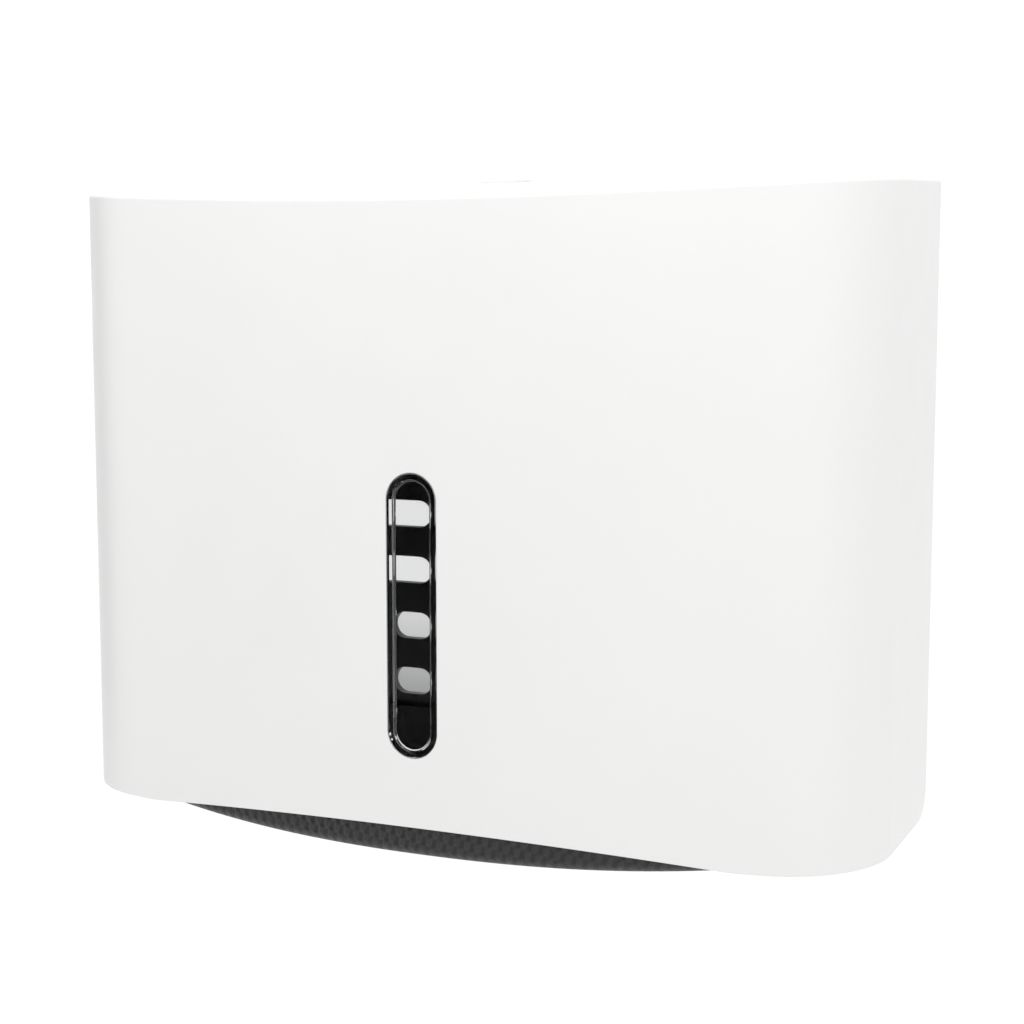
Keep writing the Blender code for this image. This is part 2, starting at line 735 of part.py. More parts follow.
def build_hinge_pieces(side_name, side, group, pin_material, washer_material):
    """One headed pin through a lug into the cover's boss, and the washer between them."""
    axis = (HINGE_Y, HINGE_HEIGHT)
    shank = bmesh.new()
    head_outer = LUG_INNER - FIT_GAP
    ends = (side * (head_outer - PIN_HEAD / 2), side * (BOSS_BORE_END - FIT_GAP))
    add_cylinder(shank, "X", axis, PIN_RADIUS, *ends)
    pin = add_object(f"hinge_pin_{side_name}", shank, group, pin_material)
    head = bmesh.new()
    add_cylinder(head, "X", axis, PIN_HEAD_RADIUS, side * (head_outer - PIN_HEAD), side * head_outer)
    add_boolean(pin, head, "UNION", "head")

    ring = bmesh.new()
    ends = (side * (LUG_OUTER + FIT_GAP), side * (BOSS_INNER - FIT_GAP))
    add_cylinder(ring, "X", axis, WASHER_RADIUS, *ends)
    washer = add_object(f"hinge_washer_{side_name}", ring, group, washer_material)
    bore = bmesh.new()
    wide = (side * (LUG_OUTER - OVERSHOOT), side * (BOSS_INNER + OVERSHOOT))
    add_cylinder(bore, "X", axis, PIN_RADIUS + FIT_GAP, *wide)
    add_boolean(washer, bore, "DIFFERENCE", "bore")


def build_lock_strike(group, material):
    """Bent steel strip on the plate: a screwed foot, a shelf below the cam and a lip before it."""
    front = -PLATE_THICKNESS - FIT_GAP
    lip_back = LOCK_Y - CAM_HALF_WIDTH - STRIKE_LIP_GAP
    lip_front = lip_back - STRIKE_THICKNESS
    under = STRIKE_SHELF - STRIKE_THICKNESS
    bm = bmesh.new()
    profile = [
        (front, STRIKE_FOOT_BOTTOM),
        (front, STRIKE_SHELF),
        (lip_back, STRIKE_SHELF),
        (lip_back, STRIKE_LIP_TOP),
        (lip_front, STRIKE_LIP_TOP),
        (lip_front, under),
        (front - STRIKE_THICKNESS, under),
        (front - STRIKE_THICKNESS, STRIKE_FOOT_BOTTOM),
    ]
    add_prism(bm, profile, "X", *STRIKE_ARM_X)
    strike = add_object("lock_strike", bm, group, material)

    foot = bmesh.new()
    foot_top = under - OVERSHOOT
    outline = rounded_rectangle(STRIKE_X, (STRIKE_FOOT_BOTTOM - OVERSHOOT, foot_top), STRIKE_CORNER)
    add_prism(foot, outline, "Y", front - STRIKE_THICKNESS, front)
    add_boolean(strike, foot, "UNION", "foot")

    holes = bmesh.new()
    through = (front - STRIKE_THICKNESS - OVERSHOOT, front + OVERSHOOT)
    for x in STRIKE_SCREW_X:
        place = (x, STRIKE_SCREW_HEIGHT)
        add_cylinder(holes, "Y", place, SCREW_HOLE_RADIUS, *through, SMALL_SEGMENTS)
    add_boolean(strike, holes, "DIFFERENCE", "holes")
    return strike


# Lock


def build_lock_housing(group, material):
    """Fixed sleeve through the cover's top, with a flange that rests in the seat."""
    axis = (0.0, LOCK_Y)
    bm = bmesh.new()
    add_cylinder(bm, "Z", axis, HOUSING_RADIUS, HOUSING_BOTTOM, LOCK_FACE - LOCK_FLANGE / 2)
    housing = add_object("lock_housing", bm, group, material)
    flange = bmesh.new()
    add_cylinder(flange, "Z", axis, LOCK_FLANGE_RADIUS, LOCK_FACE - LOCK_FLANGE, LOCK_FACE)
    add_boolean(housing, flange, "UNION", "flange")
    bore = bmesh.new()
    add_cylinder(bore, "Z", axis, HOUSING_BORE, HOUSING_BOTTOM - OVERSHOOT, LOCK_FACE + OVERSHOOT)
    add_boolean(housing, bore, "DIFFERENCE", "bore")
    counterbore = bmesh.new()
    seat = LOCK_FACE - BARREL_HEAD - FIT_GAP
    reach = (seat, LOCK_FACE + 2 * OVERSHOOT)
    add_cylinder(counterbore, "Z", axis, BARREL_HEAD_RADIUS + FIT_GAP, *reach)
    add_boolean(housing, counterbore, "DIFFERENCE", "counterbore")
    return housing


def build_lock_nut(group, material):
    """Six-sided nut that pulls the housing's flange into the cover's top."""
    axis = (0.0, LOCK_Y)
    top = LOCK_BOSS_BOTTOM - FIT_GAP
    bm = bmesh.new()
    add_cylinder(bm, "Z", axis, NUT_RADIUS, top - NUT_THICKNESS, top, segments=6)
    nut = add_object("lock_nut", bm, group, material)
    bore = bmesh.new()
    reach = (top - NUT_THICKNESS - OVERSHOOT, top + OVERSHOOT)
    add_cylinder(bore, "Z", axis, HOUSING_RADIUS + FIT_GAP, *reach)
    add_boolean(nut, bore, "DIFFERENCE", "bore")
    return nut


def tang_bottom():
    return CAM_TOP - CAM_THICKNESS - FIT_GAP


def build_lock_barrel(group, material):
    """Turning plug with a keyway above and a square tang for the cam below."""
    axis = (0.0, LOCK_Y)
    shoulder = HOUSING_BOTTOM - FIT_GAP
    half_tang = BARREL_TANG / 2
    bm = bmesh.new()
    add_cylinder(bm, "Z", axis, BARREL_RADIUS, shoulder, LOCK_FACE - BARREL_HEAD / 2)
    barrel = add_object("lock_barrel", bm, group, material)
    ends = bmesh.new()
    add_cylinder(ends, "Z", axis, BARREL_HEAD_RADIUS, LOCK_FACE - BARREL_HEAD, LOCK_FACE)
    tang_y = (LOCK_Y - half_tang, LOCK_Y + half_tang)
    add_box(ends, (-half_tang, half_tang), tang_y, (tang_bottom(), shoulder + OVERSHOOT))
    add_boolean(barrel, ends, "UNION", "head_and_tang")
    holes = bmesh.new()
    half_key = KEYWAY_LENGTH / 2
    half_gap = KEYWAY_WIDTH / 2
    key_y = (LOCK_Y - half_key, LOCK_Y + half_key)
    reach = (LOCK_FACE - KEYWAY_DEPTH, LOCK_FACE + OVERSHOOT)
    add_box(holes, (-half_gap, half_gap), key_y, reach)
    screw_hole = (tang_bottom() - OVERSHOOT, tang_bottom() + 4 * SCREW_DRIVE_DEPTH)
    add_cylinder(holes, "Z", axis, SCREW_RADIUS + FIT_GAP, *screw_hole, SMALL_SEGMENTS)
    add_boolean(barrel, holes, "DIFFERENCE", "keyway_and_screw_hole")
    return barrel


def build_lock_cam(group, material):
    """Flat tongue on the tang. Unlocked, it points at the wall and passes beside the strike."""
    height = (CAM_TOP - CAM_THICKNESS, CAM_TOP)
    bm = bmesh.new()
    add_cylinder(bm, "Z", (0.0, LOCK_Y), CAM_HUB_RADIUS, *height)
    cam = add_object("lock_cam", bm, group, material)
    tongue = bmesh.new()
    y_range = (LOCK_Y - FIT_GAP, LOCK_Y + CAM_REACH)
    outline = rounded_rectangle((-CAM_HALF_WIDTH, CAM_HALF_WIDTH), y_range, CAM_CORNER)
    low = height[0] + HAIR
    high = height[1] - HAIR
    add_prism(tongue, outline, "Z", low, high)
    add_boolean(cam, tongue, "UNION", "tongue")
    square = bmesh.new()
    half = BARREL_TANG / 2 + FIT_GAP
    hole_z = (height[0] - OVERSHOOT, height[1] + OVERSHOOT)
    add_box(square, (-half, half), (LOCK_Y - half, LOCK_Y + half), hole_z)
    add_boolean(cam, square, "DIFFERENCE", "square_hole")
    return cam


def build_cam_screw(group, material):
    """Screw that holds the cam on the tang from below."""
    axis = (0.0, LOCK_Y)
    top = tang_bottom() - FIT_GAP
    bottom = top - SCREW_HEAD
    bm = bmesh.new()
    tip = tang_bottom() + 3 * SCREW_DRIVE_DEPTH
    add_cylinder(bm, "Z", axis, SCREW_RADIUS, bottom + SCREW_HEAD / 2, tip, SMALL_SEGMENTS)
    screw = add_object("cam_screw", bm, group, material)
    head = bmesh.new()
    add_cylinder(head, "Z", axis, CAM_SCREW_HEAD_RADIUS, bottom, top)
    add_boolean(screw, head, "UNION", "head")
    slot = bmesh.new()
    half_long = CAM_SCREW_SLOT_LENGTH / 2
    half_thin = CAM_SCREW_SLOT_WIDTH / 2
    slot_y = (LOCK_Y - half_thin, LOCK_Y + half_thin)
    slot_z = (bottom - OVERSHOOT, bottom + SCREW_DRIVE_DEPTH)
    add_box(slot, (-half_long, half_long), slot_y, slot_z)
    add_boolean(screw, slot, "DIFFERENCE", "slot")
    return screw


def main():
    clear_scene()
    white = plastic("white_abs", (0.86, 0.86, 0.855), 0.38)
    white_lock = plastic("white_lock_plastic", (0.82, 0.82, 0.82), 0.3)
    dark = plastic("dark_abs", (0.03, 0.03, 0.032), 0.5)
    nylon = plastic("nylon", (0.7, 0.68, 0.62), 0.45)
    steel = shader("steel", (0.55, 0.55, 0.56), 0.3, metallic=1.0)
    clear = shader("clear_plastic", (0.95, 0.96, 0.96), 0.05, metallic=0.0, transmission=1.0)

    dispenser = add_empty("dispenser", (0.0, 0.0, -ORIGIN_HEIGHT))
    cover_group = add_empty("cover_hinge_axis", (0.0, HINGE_Y, HINGE_HEIGHT), dispenser)
    lock_axis = add_empty("lock_axis", (0.0, LOCK_Y, LOCK_FACE), dispenser)

    build_back_plate(dispenser, dark)
    build_bottom_tray(dispenser, dark)
    build_tray_screws(dispenser, steel)
    for side_name, side in (("left", -1), ("right", 1)):
        build_hinge_pieces(side_name, side, dispenser, steel, nylon)
    build_lock_strike(dispenser, steel)
    build_strike_screws(dispenser, steel)

    build_front_cover(cover_group, white)
    build_window_lens(cover_group, clear)
    build_lock_housing(cover_group, white_lock)
    build_lock_nut(cover_group, steel)

    build_lock_barrel(lock_axis, white_lock)
    build_lock_cam(lock_axis, steel)
    build_cam_screw(lock_axis, steel)


main()
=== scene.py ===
"""Looks of the wall dispenser for folded paper towels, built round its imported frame.

Metres, +Z up, +Y into the wall, +X to the right. Heights are counted up from the cover's lower edge.
Each sub-assembly is a class that models its pieces with Blender's own tools, gives each its finish,
and hands it to the body that it moves with.
"""

import sys

import logging
import math
from contextlib import contextmanager
from dataclasses import dataclass
from enum import Enum
from typing import Callable, Iterator, Sequence

import bmesh
import bpy
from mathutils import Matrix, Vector


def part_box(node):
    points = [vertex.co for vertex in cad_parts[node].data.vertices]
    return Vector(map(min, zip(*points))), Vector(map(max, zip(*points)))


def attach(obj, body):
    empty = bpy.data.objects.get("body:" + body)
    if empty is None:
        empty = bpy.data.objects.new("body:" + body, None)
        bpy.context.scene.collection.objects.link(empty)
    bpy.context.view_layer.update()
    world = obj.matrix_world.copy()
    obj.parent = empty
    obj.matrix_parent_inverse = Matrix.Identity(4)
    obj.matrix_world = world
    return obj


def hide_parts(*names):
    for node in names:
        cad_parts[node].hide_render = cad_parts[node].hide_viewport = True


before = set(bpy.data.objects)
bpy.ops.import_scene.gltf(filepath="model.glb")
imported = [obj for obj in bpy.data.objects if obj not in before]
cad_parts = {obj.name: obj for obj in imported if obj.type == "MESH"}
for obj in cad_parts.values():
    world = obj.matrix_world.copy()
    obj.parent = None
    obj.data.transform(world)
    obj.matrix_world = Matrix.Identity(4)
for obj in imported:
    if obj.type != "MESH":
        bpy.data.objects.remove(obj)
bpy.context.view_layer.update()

MM = 0.001
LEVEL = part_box("front_cover")[0].z
CLEAR = 0.3 * MM
PAST = 1 * MM
TINY = 0.001 * MM
SOFT_EDGE = 0.3 * MM
SCREW_HOLE_RADIUS = 1.6 * MM
SAME_WAY = 0.9
HALF_LOW, HALF_HIGH = 0.3, 0.7
QUARTER = math.pi / 2
SIDES = {"left": -1, "right": 1}
TRAY_SCREWS = [f"tray_screw_{n}" for n in (1, 2, 3, 4)]
STRIKE_SCREWS = [f"strike_screw_{name}" for name in SIDES]

Pair = tuple[float, float]
Mover = Callable[[Vector], Vector]
Three = tuple[float, float, float]
Piece = bpy.types.Object
Edge = bmesh.types.BMEdge
Face = bmesh.types.BMFace
Socket = bpy.types.NodeSocket
EdgeTest = Callable[[Edge], bool]
Test = Callable[[Edge | Face], bool]

log = logging.getLogger("dispenser")


class Body(Enum):
    """The bodies of the frame that pieces move with."""

    BASE = "base"
    COVER = "cover"
    LOCK = "lock"


class Slot(Enum):
    """The record's material slots."""

    SHELL = "white_shell"
    LOCK = "white_lock_plastic"
    PLATE = "dark_plastic"
    TRAY = "dark_textured_plastic"
    LENS = "clear_plastic"
    NYLON = "nylon"
    STEEL = "steel"


class Operation(Enum):
    """What a Boolean does with the second shape."""

    CUT = "DIFFERENCE"
    ADD = "UNION"


class Axis(Enum):
    """The direction that a shape runs along."""

    X = 0
    Y = 1
    Z = 2

    def point(self, pair: Pair, level: float) -> Vector:
        """Places a point.

        Args:
            pair: Its values on the other two axes, in their usual order.
            level: Its value on this axis.

        Returns:
            The point in space.
        """
        values = list(pair)
        values.insert(self.value, level)
        return Vector(values)

    @property
    def turn(self) -> Three:
        """Rotation that lays an upright primitive along this axis."""
        return ((0, QUARTER, 0), (QUARTER, 0, 0), (0, 0, 0))[self.value]


# Work at the bench: selection, edit mode, modifiers


def deselect() -> None:
    """Deselects every object."""
    bpy.ops.object.select_all(action="DESELECT")


def activate(piece: Piece) -> None:
    """Makes one object the active and only selected one."""
    deselect()
    piece.select_set(True)
    bpy.context.view_layer.objects.active = piece


def adopt(name: str) -> Piece:
    """Names the primitive just added and moves its place into its mesh.

    Args:
        name: Name of the object and of its mesh.

    Returns:
        The object, at the origin, unturned and unscaled.
    """
    piece = bpy.context.active_object
    bpy.ops.object.transform_apply(location=True, rotation=True, scale=True)
    piece.name = name
    piece.data.name = name
    return piece


def select_all() -> None:
    """Selects, in edit mode, everything."""
    bpy.ops.mesh.select_all(action="SELECT")


@contextmanager
def editing(piece: Piece, mode: str = "VERT") -> Iterator[None]:
    """Opens a piece in edit mode with nothing selected, and closes it again.

    Args:
        piece: The object to edit.
        mode: VERT, EDGE or FACE, what a selection is made of.
    """
    activate(piece)
    bpy.ops.object.mode_set(mode="EDIT")
    bpy.ops.mesh.select_mode(type=mode)
    bpy.ops.mesh.select_all(action="DESELECT")
    yield
    bpy.ops.object.mode_set(mode="OBJECT")


def pick(piece: Piece, kind: str, test: Test) -> None:
    """Selects, in edit mode, the edges or faces that pass a test, and no others.

    Args:
        piece: The object in edit mode.
        kind: EDGE or FACE, what is tested.
        test: Says which of them.
    """
    bpy.ops.mesh.select_mode(type=kind)
    bpy.ops.mesh.select_all(action="DESELECT")
    mesh = bmesh.from_edit_mesh(piece.data)
    for part in [part for part in (mesh.edges if kind == "EDGE" else mesh.faces) if test(part)]:
        part.select_set(True)
    bmesh.update_edit_mesh(piece.data)


def pull(piece: Piece, move: Mover) -> None:
    """Extrudes what is selected in edit mode and moves each new point.

    Args:
        piece: The object in edit mode.
        move: Gives a new point's place from where it starts.
    """
    bpy.ops.mesh.extrude_region_move()
    mesh = bmesh.from_edit_mesh(piece.data)
    for vert in mesh.verts:
        if vert.select:
            vert.co = move(vert.co)
    bmesh.update_edit_mesh(piece.data)


def tidy_mesh(piece: Piece) -> None:
    """Merges doubled points and turns every face of a closed shape outwards."""
    with editing(piece):
        select_all()
        bpy.ops.mesh.remove_doubles(threshold=TINY)
        bpy.ops.mesh.normals_make_consistent(inside=False)


def apply_modifier(piece: Piece, kind: str, **settings: object) -> None:
    """Adds a modifier, sets it and applies it.

    Args:
        piece: The object that gets it.
        kind: The modifier's type.
        settings: Values of its properties.
    """
    activate(piece)
    modifier = piece.modifiers.new(kind.lower(), kind)
    for key, value in settings.items():
        setattr(modifier, key, value)
    bpy.ops.object.modifier_apply(modifier=modifier.name)


def combine(piece: Piece, operation: Operation, *others: Piece) -> None:
    """Cuts shapes from a piece, or adds them to it, and removes them.

    Args:
        piece: The object that stays.
        operation: Whether the others are cut away or added.
        others: The shapes used.
    """
    for other in others:
        apply_modifier(piece, "BOOLEAN", operation=operation.value, solver="EXACT", object=other)
        bpy.data.objects.remove(other, do_unlink=True)


def round_edges(piece: Piece, test: EdgeTest, radius: float, segments: int = 3) -> None:
    """Rounds the edges that pass a test.

    Args:
        piece: The object to work on.
        test: Says which edges.
        radius: Radius of the rounding.
        segments: Faces across it.
    """
    with editing(piece, "EDGE"):
        pick(piece, "EDGE", test)
        bpy.ops.mesh.bevel(offset=radius, segments=segments, affect="EDGES", clamp_overlap=False)


def polish(piece: Piece, angle: float = math.radians(32)) -> None:
    """Shades a piece smoothly between its hard edges, with large faces leading.

    Args:
        piece: The finished mesh.
        angle: Edges sharper than this stay hard.
    """
    with editing(piece):
        select_all()
        bpy.ops.mesh.remove_doubles(threshold=TINY)
        bpy.ops.mesh.dissolve_degenerate(threshold=TINY)
    activate(piece)
    bpy.ops.object.shade_smooth_by_angle(angle=angle)
    apply_modifier(piece, "WEIGHTED_NORMAL", keep_sharp=True)


def sharp(edge: Edge, degrees: float = 60) -> bool:
    """Whether an edge's two faces meet at more than an angle."""
    return len(edge.link_faces) == 2 and edge.calc_face_angle() > math.radians(degrees)


def middle(edge: Edge) -> Vector:
    """The middle of an edge."""
    return (edge.verts[0].co + edge.verts[1].co) / 2


def ahead_of(level: float) -> EdgeTest:
    """A test for sharp edges in front of a level."""
    return lambda edge: sharp(edge) and middle(edge).y < level


# Shapes that the pieces start from


def add_block(name: str, low: Sequence[float], high: Sequence[float]) -> Piece:
    """Adds a block between two corners.

    Args:
        name: Name of the object.
        low: Its lowest corner.
        high: Its highest corner.

    Returns:
        The object.
    """
    deselect()
    low, high = Vector(low), Vector(high)
    bpy.ops.mesh.primitive_cube_add(size=1, location=(low + high) / 2)
    bpy.context.active_object.scale = high - low
    return adopt(name)


def add_bar(
    name: str, axis: Axis, centre: Pair, radius: float, span: Pair, sides: int = 48
) -> Piece:
    """Adds a round bar.

    Args:
        name: Name of the object.
        axis: The direction it runs along.
        centre: Its place on the other two axes.
        radius: Its radius.
        span: Where it starts and ends along the axis.
        sides: How many faces go round it.

    Returns:
        The object.
    """
    deselect()
    bpy.ops.mesh.primitive_cylinder_add(
        vertices=sides,
        radius=radius,
        depth=abs(span[1] - span[0]),
        location=axis.point(centre, sum(span) / 2),
        rotation=axis.turn,
    )
    return adopt(name)


def add_rounded(
    name: str, axis: Axis, low: Pair, high: Pair, radius: float, span: Pair, segments: int = 10
) -> Piece:
    """Adds a block whose four edges along an axis are rounded. A radius of half its width makes a pill.

    Args:
        name: Name of the object.
        axis: The direction of the rounded edges.
        low: Lowest values on the other two axes.
        high: Highest values on the other two axes.
        radius: Radius of the rounding.
        span: Where it starts and ends along the axis.
        segments: Faces round each edge.

    Returns:
        The object.
    """
    block = add_block(name, axis.point(low, min(span)), axis.point(high, max(span)))

    def along(edge: Edge) -> bool:
        """Whether an edge runs along the axis."""
        way = (edge.verts[1].co - edge.verts[0].co).normalized()
        return abs(way[axis.value]) > SAME_WAY

    round_edges(block, along, radius, segments)
    tidy_mesh(block)
    return block


def pill_corners(centre: Pair, half: Pair) -> tuple[Pair, Pair]:
    """The lowest and highest corners of a shape from its centre and half sizes."""
    low = (centre[0] - half[0], centre[1] - half[1])
    high = (centre[0] + half[0], centre[1] + half[1])
    return low, high


def add_pill(name: str, axis: Axis, centre: Pair, half: Pair, span: Pair) -> Piece:
    """Adds a bar with a pill-shaped outline.

    Args:
        name: Name of the object.
        axis: The direction it runs along.
        centre: Its place on the other two axes.
        half: Half sizes on the other two axes.
        span: Where it starts and ends along the axis.

    Returns:
        The object.
    """
    low, high = pill_corners(centre, half)
    return add_rounded(name, axis, low, high, min(half), span, 16)


def step_cap(piece: Piece, way: Vector, steps: Sequence[Pair]) -> None:
    """Draws a flat end in and out in steps, as a rounding or a recess.

    Args:
        piece: The object to work on.
        way: The way that the end faces.
        steps: For each step, how far in from the rim, and how far outwards.
    """
    with editing(piece, "FACE"):
        mesh = bmesh.from_edit_mesh(piece.data)
        far = max(vert.co.dot(way) for vert in mesh.verts)

        def at_end(face: Face) -> bool:
            """Whether a face is the flat end."""
            return face.normal.dot(way) > 0.99 and face.calc_center_median().dot(way) > far - TINY

        pick(piece, "FACE", at_end)
        for inwards, outwards in steps:
            bpy.ops.mesh.inset(thickness=inwards, depth=outwards)


def lip_steps(radius: float, count: int = 4) -> list[Pair]:
    """Steps that narrow a cutter's end into a rounded lip of a hole."""
    angles = [QUARTER * step / count for step in range(count + 1)]
    return [
        (radius * (math.sin(b) - math.sin(a)), radius * (math.cos(a) - math.cos(b)))
        for a, b in zip(angles, angles[1:])
    ]


def add_lipped(
    name: str, axis: Axis, centre: Pair, half: Pair, face: float, depth: float, lip: float
) -> Piece:
    """Adds a pill-shaped cutter that leaves a rounded lip on the face it enters.

    Args:
        name: Name of the object.
        axis: The direction it cuts along.
        centre: Its place on the other two axes.
        half: Half sizes of the hole.
        face: Level of the face that it enters.
        depth: How far it goes past that face, with its sign for the way.
        lip: Radius of the lip.

    Returns:
        The object.
    """
    way = math.copysign(1.0, depth)
    wide = (half[0] + lip, half[1] + lip)
    cutter = add_pill(name, axis, centre, wide, (face - way * PAST, face))
    steps = lip_steps(lip) + [(0.0, abs(depth) - lip)]
    step_cap(cutter, axis.point((0.0, 0.0), way), steps)
    return cutter


def trace(name: str, points: Sequence[Vector], fill: bool) -> Piece:
    """Draws a line through points by extruding one vertex from point to point.

    Args:
        name: Name of the object.
        points: The points, in order.
        fill: Whether the line is closed and filled with a face.

    Returns:
        The object.
    """
    deselect()
    bpy.ops.mesh.primitive_plane_add(size=MM, location=points[0])
    line = adopt(name)
    with editing(line):
        select_all()
        bpy.ops.mesh.merge(type="CENTER")
        for here, there in zip(points, points[1:]):
            bpy.ops.mesh.extrude_vertices_move(TRANSFORM_OT_translate={"value": there - here})
        if fill:
            select_all()
            bpy.ops.mesh.edge_face_add()
    return line


def add_prism(name: str, axis: Axis, outline: Sequence[Pair], span: Pair) -> Piece:
    """Adds a flat outline pushed along an axis.

    Args:
        name: Name of the object.
        axis: The direction it is pushed along.
        outline: Its points on the other two axes.
        span: Where it starts and ends along the axis.

    Returns:
        The object.
    """
    prism = trace(name, [axis.point(pair, span[0]) for pair in outline], True)
    push = axis.point((0.0, 0.0), span[1] - span[0])
    with editing(prism, "FACE"):
        select_all()
        bpy.ops.mesh.extrude_region_move(TRANSFORM_OT_translate={"value": push})
    tidy_mesh(prism)
    return prism


def add_turned(
    name: str, axis: Axis, centre: Pair, profile: Sequence[Pair], steps: int = 48
) -> Piece:
    """Adds a turned shape. A profile that doesn't start on the axis makes a ring.

    Args:
        name: Name of the object.
        axis: The direction of its axis.
        centre: The axis's place on the other two axes.
        profile: Radius and level of each point of its half section.
        steps: How many faces go round it.

    Returns:
        The object.
    """
    ring = list(profile) + ([profile[0]] if profile[0][0] > 0 else [])
    points = [axis.point((centre[0] + radius, centre[1]), level) for radius, level in ring]
    turned = trace(name, points, False)
    with editing(turned):
        select_all()
        bpy.ops.mesh.spin(
            steps=steps,
            angle=4 * QUARTER,
            center=axis.point(centre, 0.0),
            axis=axis.point((0.0, 0.0), 1.0),
        )
    tidy_mesh(turned)
    return turned


def arc(centre: Pair, radius: float, start: float, end: float, steps: int) -> list[Pair]:
    """Points along an arc, both ends included.

    Args:
        centre: Its centre.
        radius: Its radius.
        start: Angle of its first point, in radians.
        end: Angle of its last point.
        steps: How many steps it has.

    Returns:
        Its points.
    """
    angles = [start + (end - start) * step / steps for step in range(steps + 1)]
    return [(centre[0] + radius * math.cos(a), centre[1] + radius * math.sin(a)) for a in angles]


def front_plan(
    half_width: float, depth: float, radius: float, corner: float, inset: float, steps: tuple[int, int]
) -> list[Pair]:
    """A curved front with round corners, seen from above and moved in.

    Args:
        half_width: Half its width.
        depth: How far its middle stands before the wall.
        radius: Radius of the front.
        corner: Radius of its corners.
        inset: How far it is moved in.
        steps: Faces round each corner and along the front.

    Returns:
        Its points as x and y, from left to right.
    """
    side = half_width - corner
    centre_y = radius - depth
    corner_y = centre_y - math.sqrt((radius - corner) ** 2 - side**2)
    turn = math.atan2(corner_y - centre_y, side)
    far = -math.pi - turn
    left = arc((-side, corner_y), corner - inset, -math.pi, far, steps[0])
    front = arc((0.0, centre_y), radius - inset, far, turn, steps[1])
    right = arc((side, corner_y), corner - inset, turn, 0.0, steps[0])
    return left + front[1:-1] + right


def copy_of(piece: Piece, name: str, move: Sequence[float]) -> Piece:
    """Copies a piece with its own mesh and moves the copy's mesh.

    Args:
        piece: What is copied.
        name: Name of the copy.
        move: How far it is moved.

    Returns:
        The copy, with its object still at the origin.
    """
    activate(piece)
    bpy.ops.object.duplicate(linked=False)
    bpy.context.active_object.location = Vector(move)
    return adopt(name)


def one_of(*pieces: Piece) -> Piece:
    """Joins objects that don't touch into one object."""
    activate(pieces[0])
    for piece in pieces:
        piece.select_set(True)
    bpy.ops.object.join()
    return pieces[0]


def centre_of(node: str) -> Vector:
    """The middle of a node's box."""
    low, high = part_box(node)
    return (low + high) / 2


def screw_holes(nodes: Sequence[str], span: Pair) -> list[Piece]:
    """Cutters along Y of the holes that some nodes' screws pass."""
    made = []
    for node in nodes:
        place = centre_of(node)
        hole = add_bar(f"hole of {node}", Axis.Y, (place.x, place.z), SCREW_HOLE_RADIUS, span, 24)
        made.append(hole)
    return made


# Finishes


class Recipe:
    """A material's nodes, wired one by one."""

    def __init__(self, name: str) -> None:
        """Starts a material with its shader and its surface coordinates."""
        self.material = bpy.data.materials.new(name)
        self.material.use_nodes = True
        self.tree = self.material.node_tree
        self.shader = self.tree.nodes["Principled BSDF"]
        self.place = self.tree.nodes.new("ShaderNodeTexCoord")

    def node(self, kind: str, **inputs: object) -> bpy.types.Node:
        """Adds a node.

        Args:
            kind: Its type, without the word that all shader nodes start with.
            inputs: Values or links for its inputs, by name with _ for a space.

        Returns:
            The node.
        """
        made = self.tree.nodes.new("ShaderNode" + kind)
        for key, value in inputs.items():
            self.feed(made.inputs[key.replace("_", " ")], value)
        return made

    def feed(self, socket: Socket, value: object) -> None:
        """Links an output into a socket, or sets the socket's own value."""
        if isinstance(value, Socket):
            self.tree.links.new(value, socket)
        else:
            socket.default_value = value

    def noise(self, scale: float, detail: float = 2.0, stretch: Three = (1, 1, 1)) -> Socket:
        """Noise on the piece's own coordinates.

        Args:
            scale: Blotches to the metre, roughly.
            detail: How many finer layers it has.
            stretch: Scale on each axis, for streaks.

        Returns:
            Its value, around a half.
        """
        placed = self.node("Mapping", Vector=self.place.outputs["Object"], Scale=tuple(stretch))
        noise = self.node("TexNoise", Vector=placed.outputs["Vector"], Scale=scale, Detail=detail)
        return noise.outputs["Fac"]

    def blend(self, value: Socket, low: float, high: float) -> Socket:
        """Maps a value around a half onto a range."""
        levels = {"From_Min": HALF_LOW, "From_Max": HALF_HIGH, "To_Min": low, "To_Max": high}
        ranged = self.node("MapRange", Value=value, **levels)
        return ranged.outputs["Result"]

    def tint(self, value: Socket, first: Three, second: Three) -> None:
        """Mixes the base colour between two colours by a value around a half."""
        self.mix(self.blend(value, 0.0, 1.0), first, second)

    def mix(self, share: Socket, first: Three, second: Three) -> None:
        """Mixes the base colour between two colours by a share from 0 to 1."""
        mixed = self.node("Mix")
        mixed.data_type = "RGBA"
        self.feed(mixed.inputs[0], share)
        mixed.inputs[6].default_value = (*first, 1.0)
        mixed.inputs[7].default_value = (*second, 1.0)
        self.feed(self.shader.inputs["Base Color"], mixed.outputs[2])

    def roughen(self, value: Socket, low: float, high: float) -> None:
        """Varies the roughness over a range by a value around a half."""
        self.feed(self.shader.inputs["Roughness"], self.blend(value, low, high))

    def set(self, **values: object) -> None:
        """Sets the shader's inputs, by name with _ for a space."""
        for key, value in values.items():
            self.feed(self.shader.inputs[key.replace("_", " ")], value)

    def calculate(self, operation: str, *values: object) -> Socket:
        """Adds a Math node and gives it its values."""
        made = self.node("Math")
        made.operation = operation
        for socket, value in zip(made.inputs, values):
            self.feed(socket, value)
        return made.outputs[0]

    def bump(self, *layers: tuple[Socket, float, float]) -> None:
        """Raises the surface by layers of (height, strength, depth in metres)."""
        normal = None
        for height, strength, depth in layers:
            raised = self.node("Bump", Height=height, Strength=strength, Distance=depth)
            if normal is not None:
                self.feed(raised.inputs["Normal"], normal)
            normal = raised.outputs["Normal"]
        self.feed(self.shader.inputs["Normal"], normal)


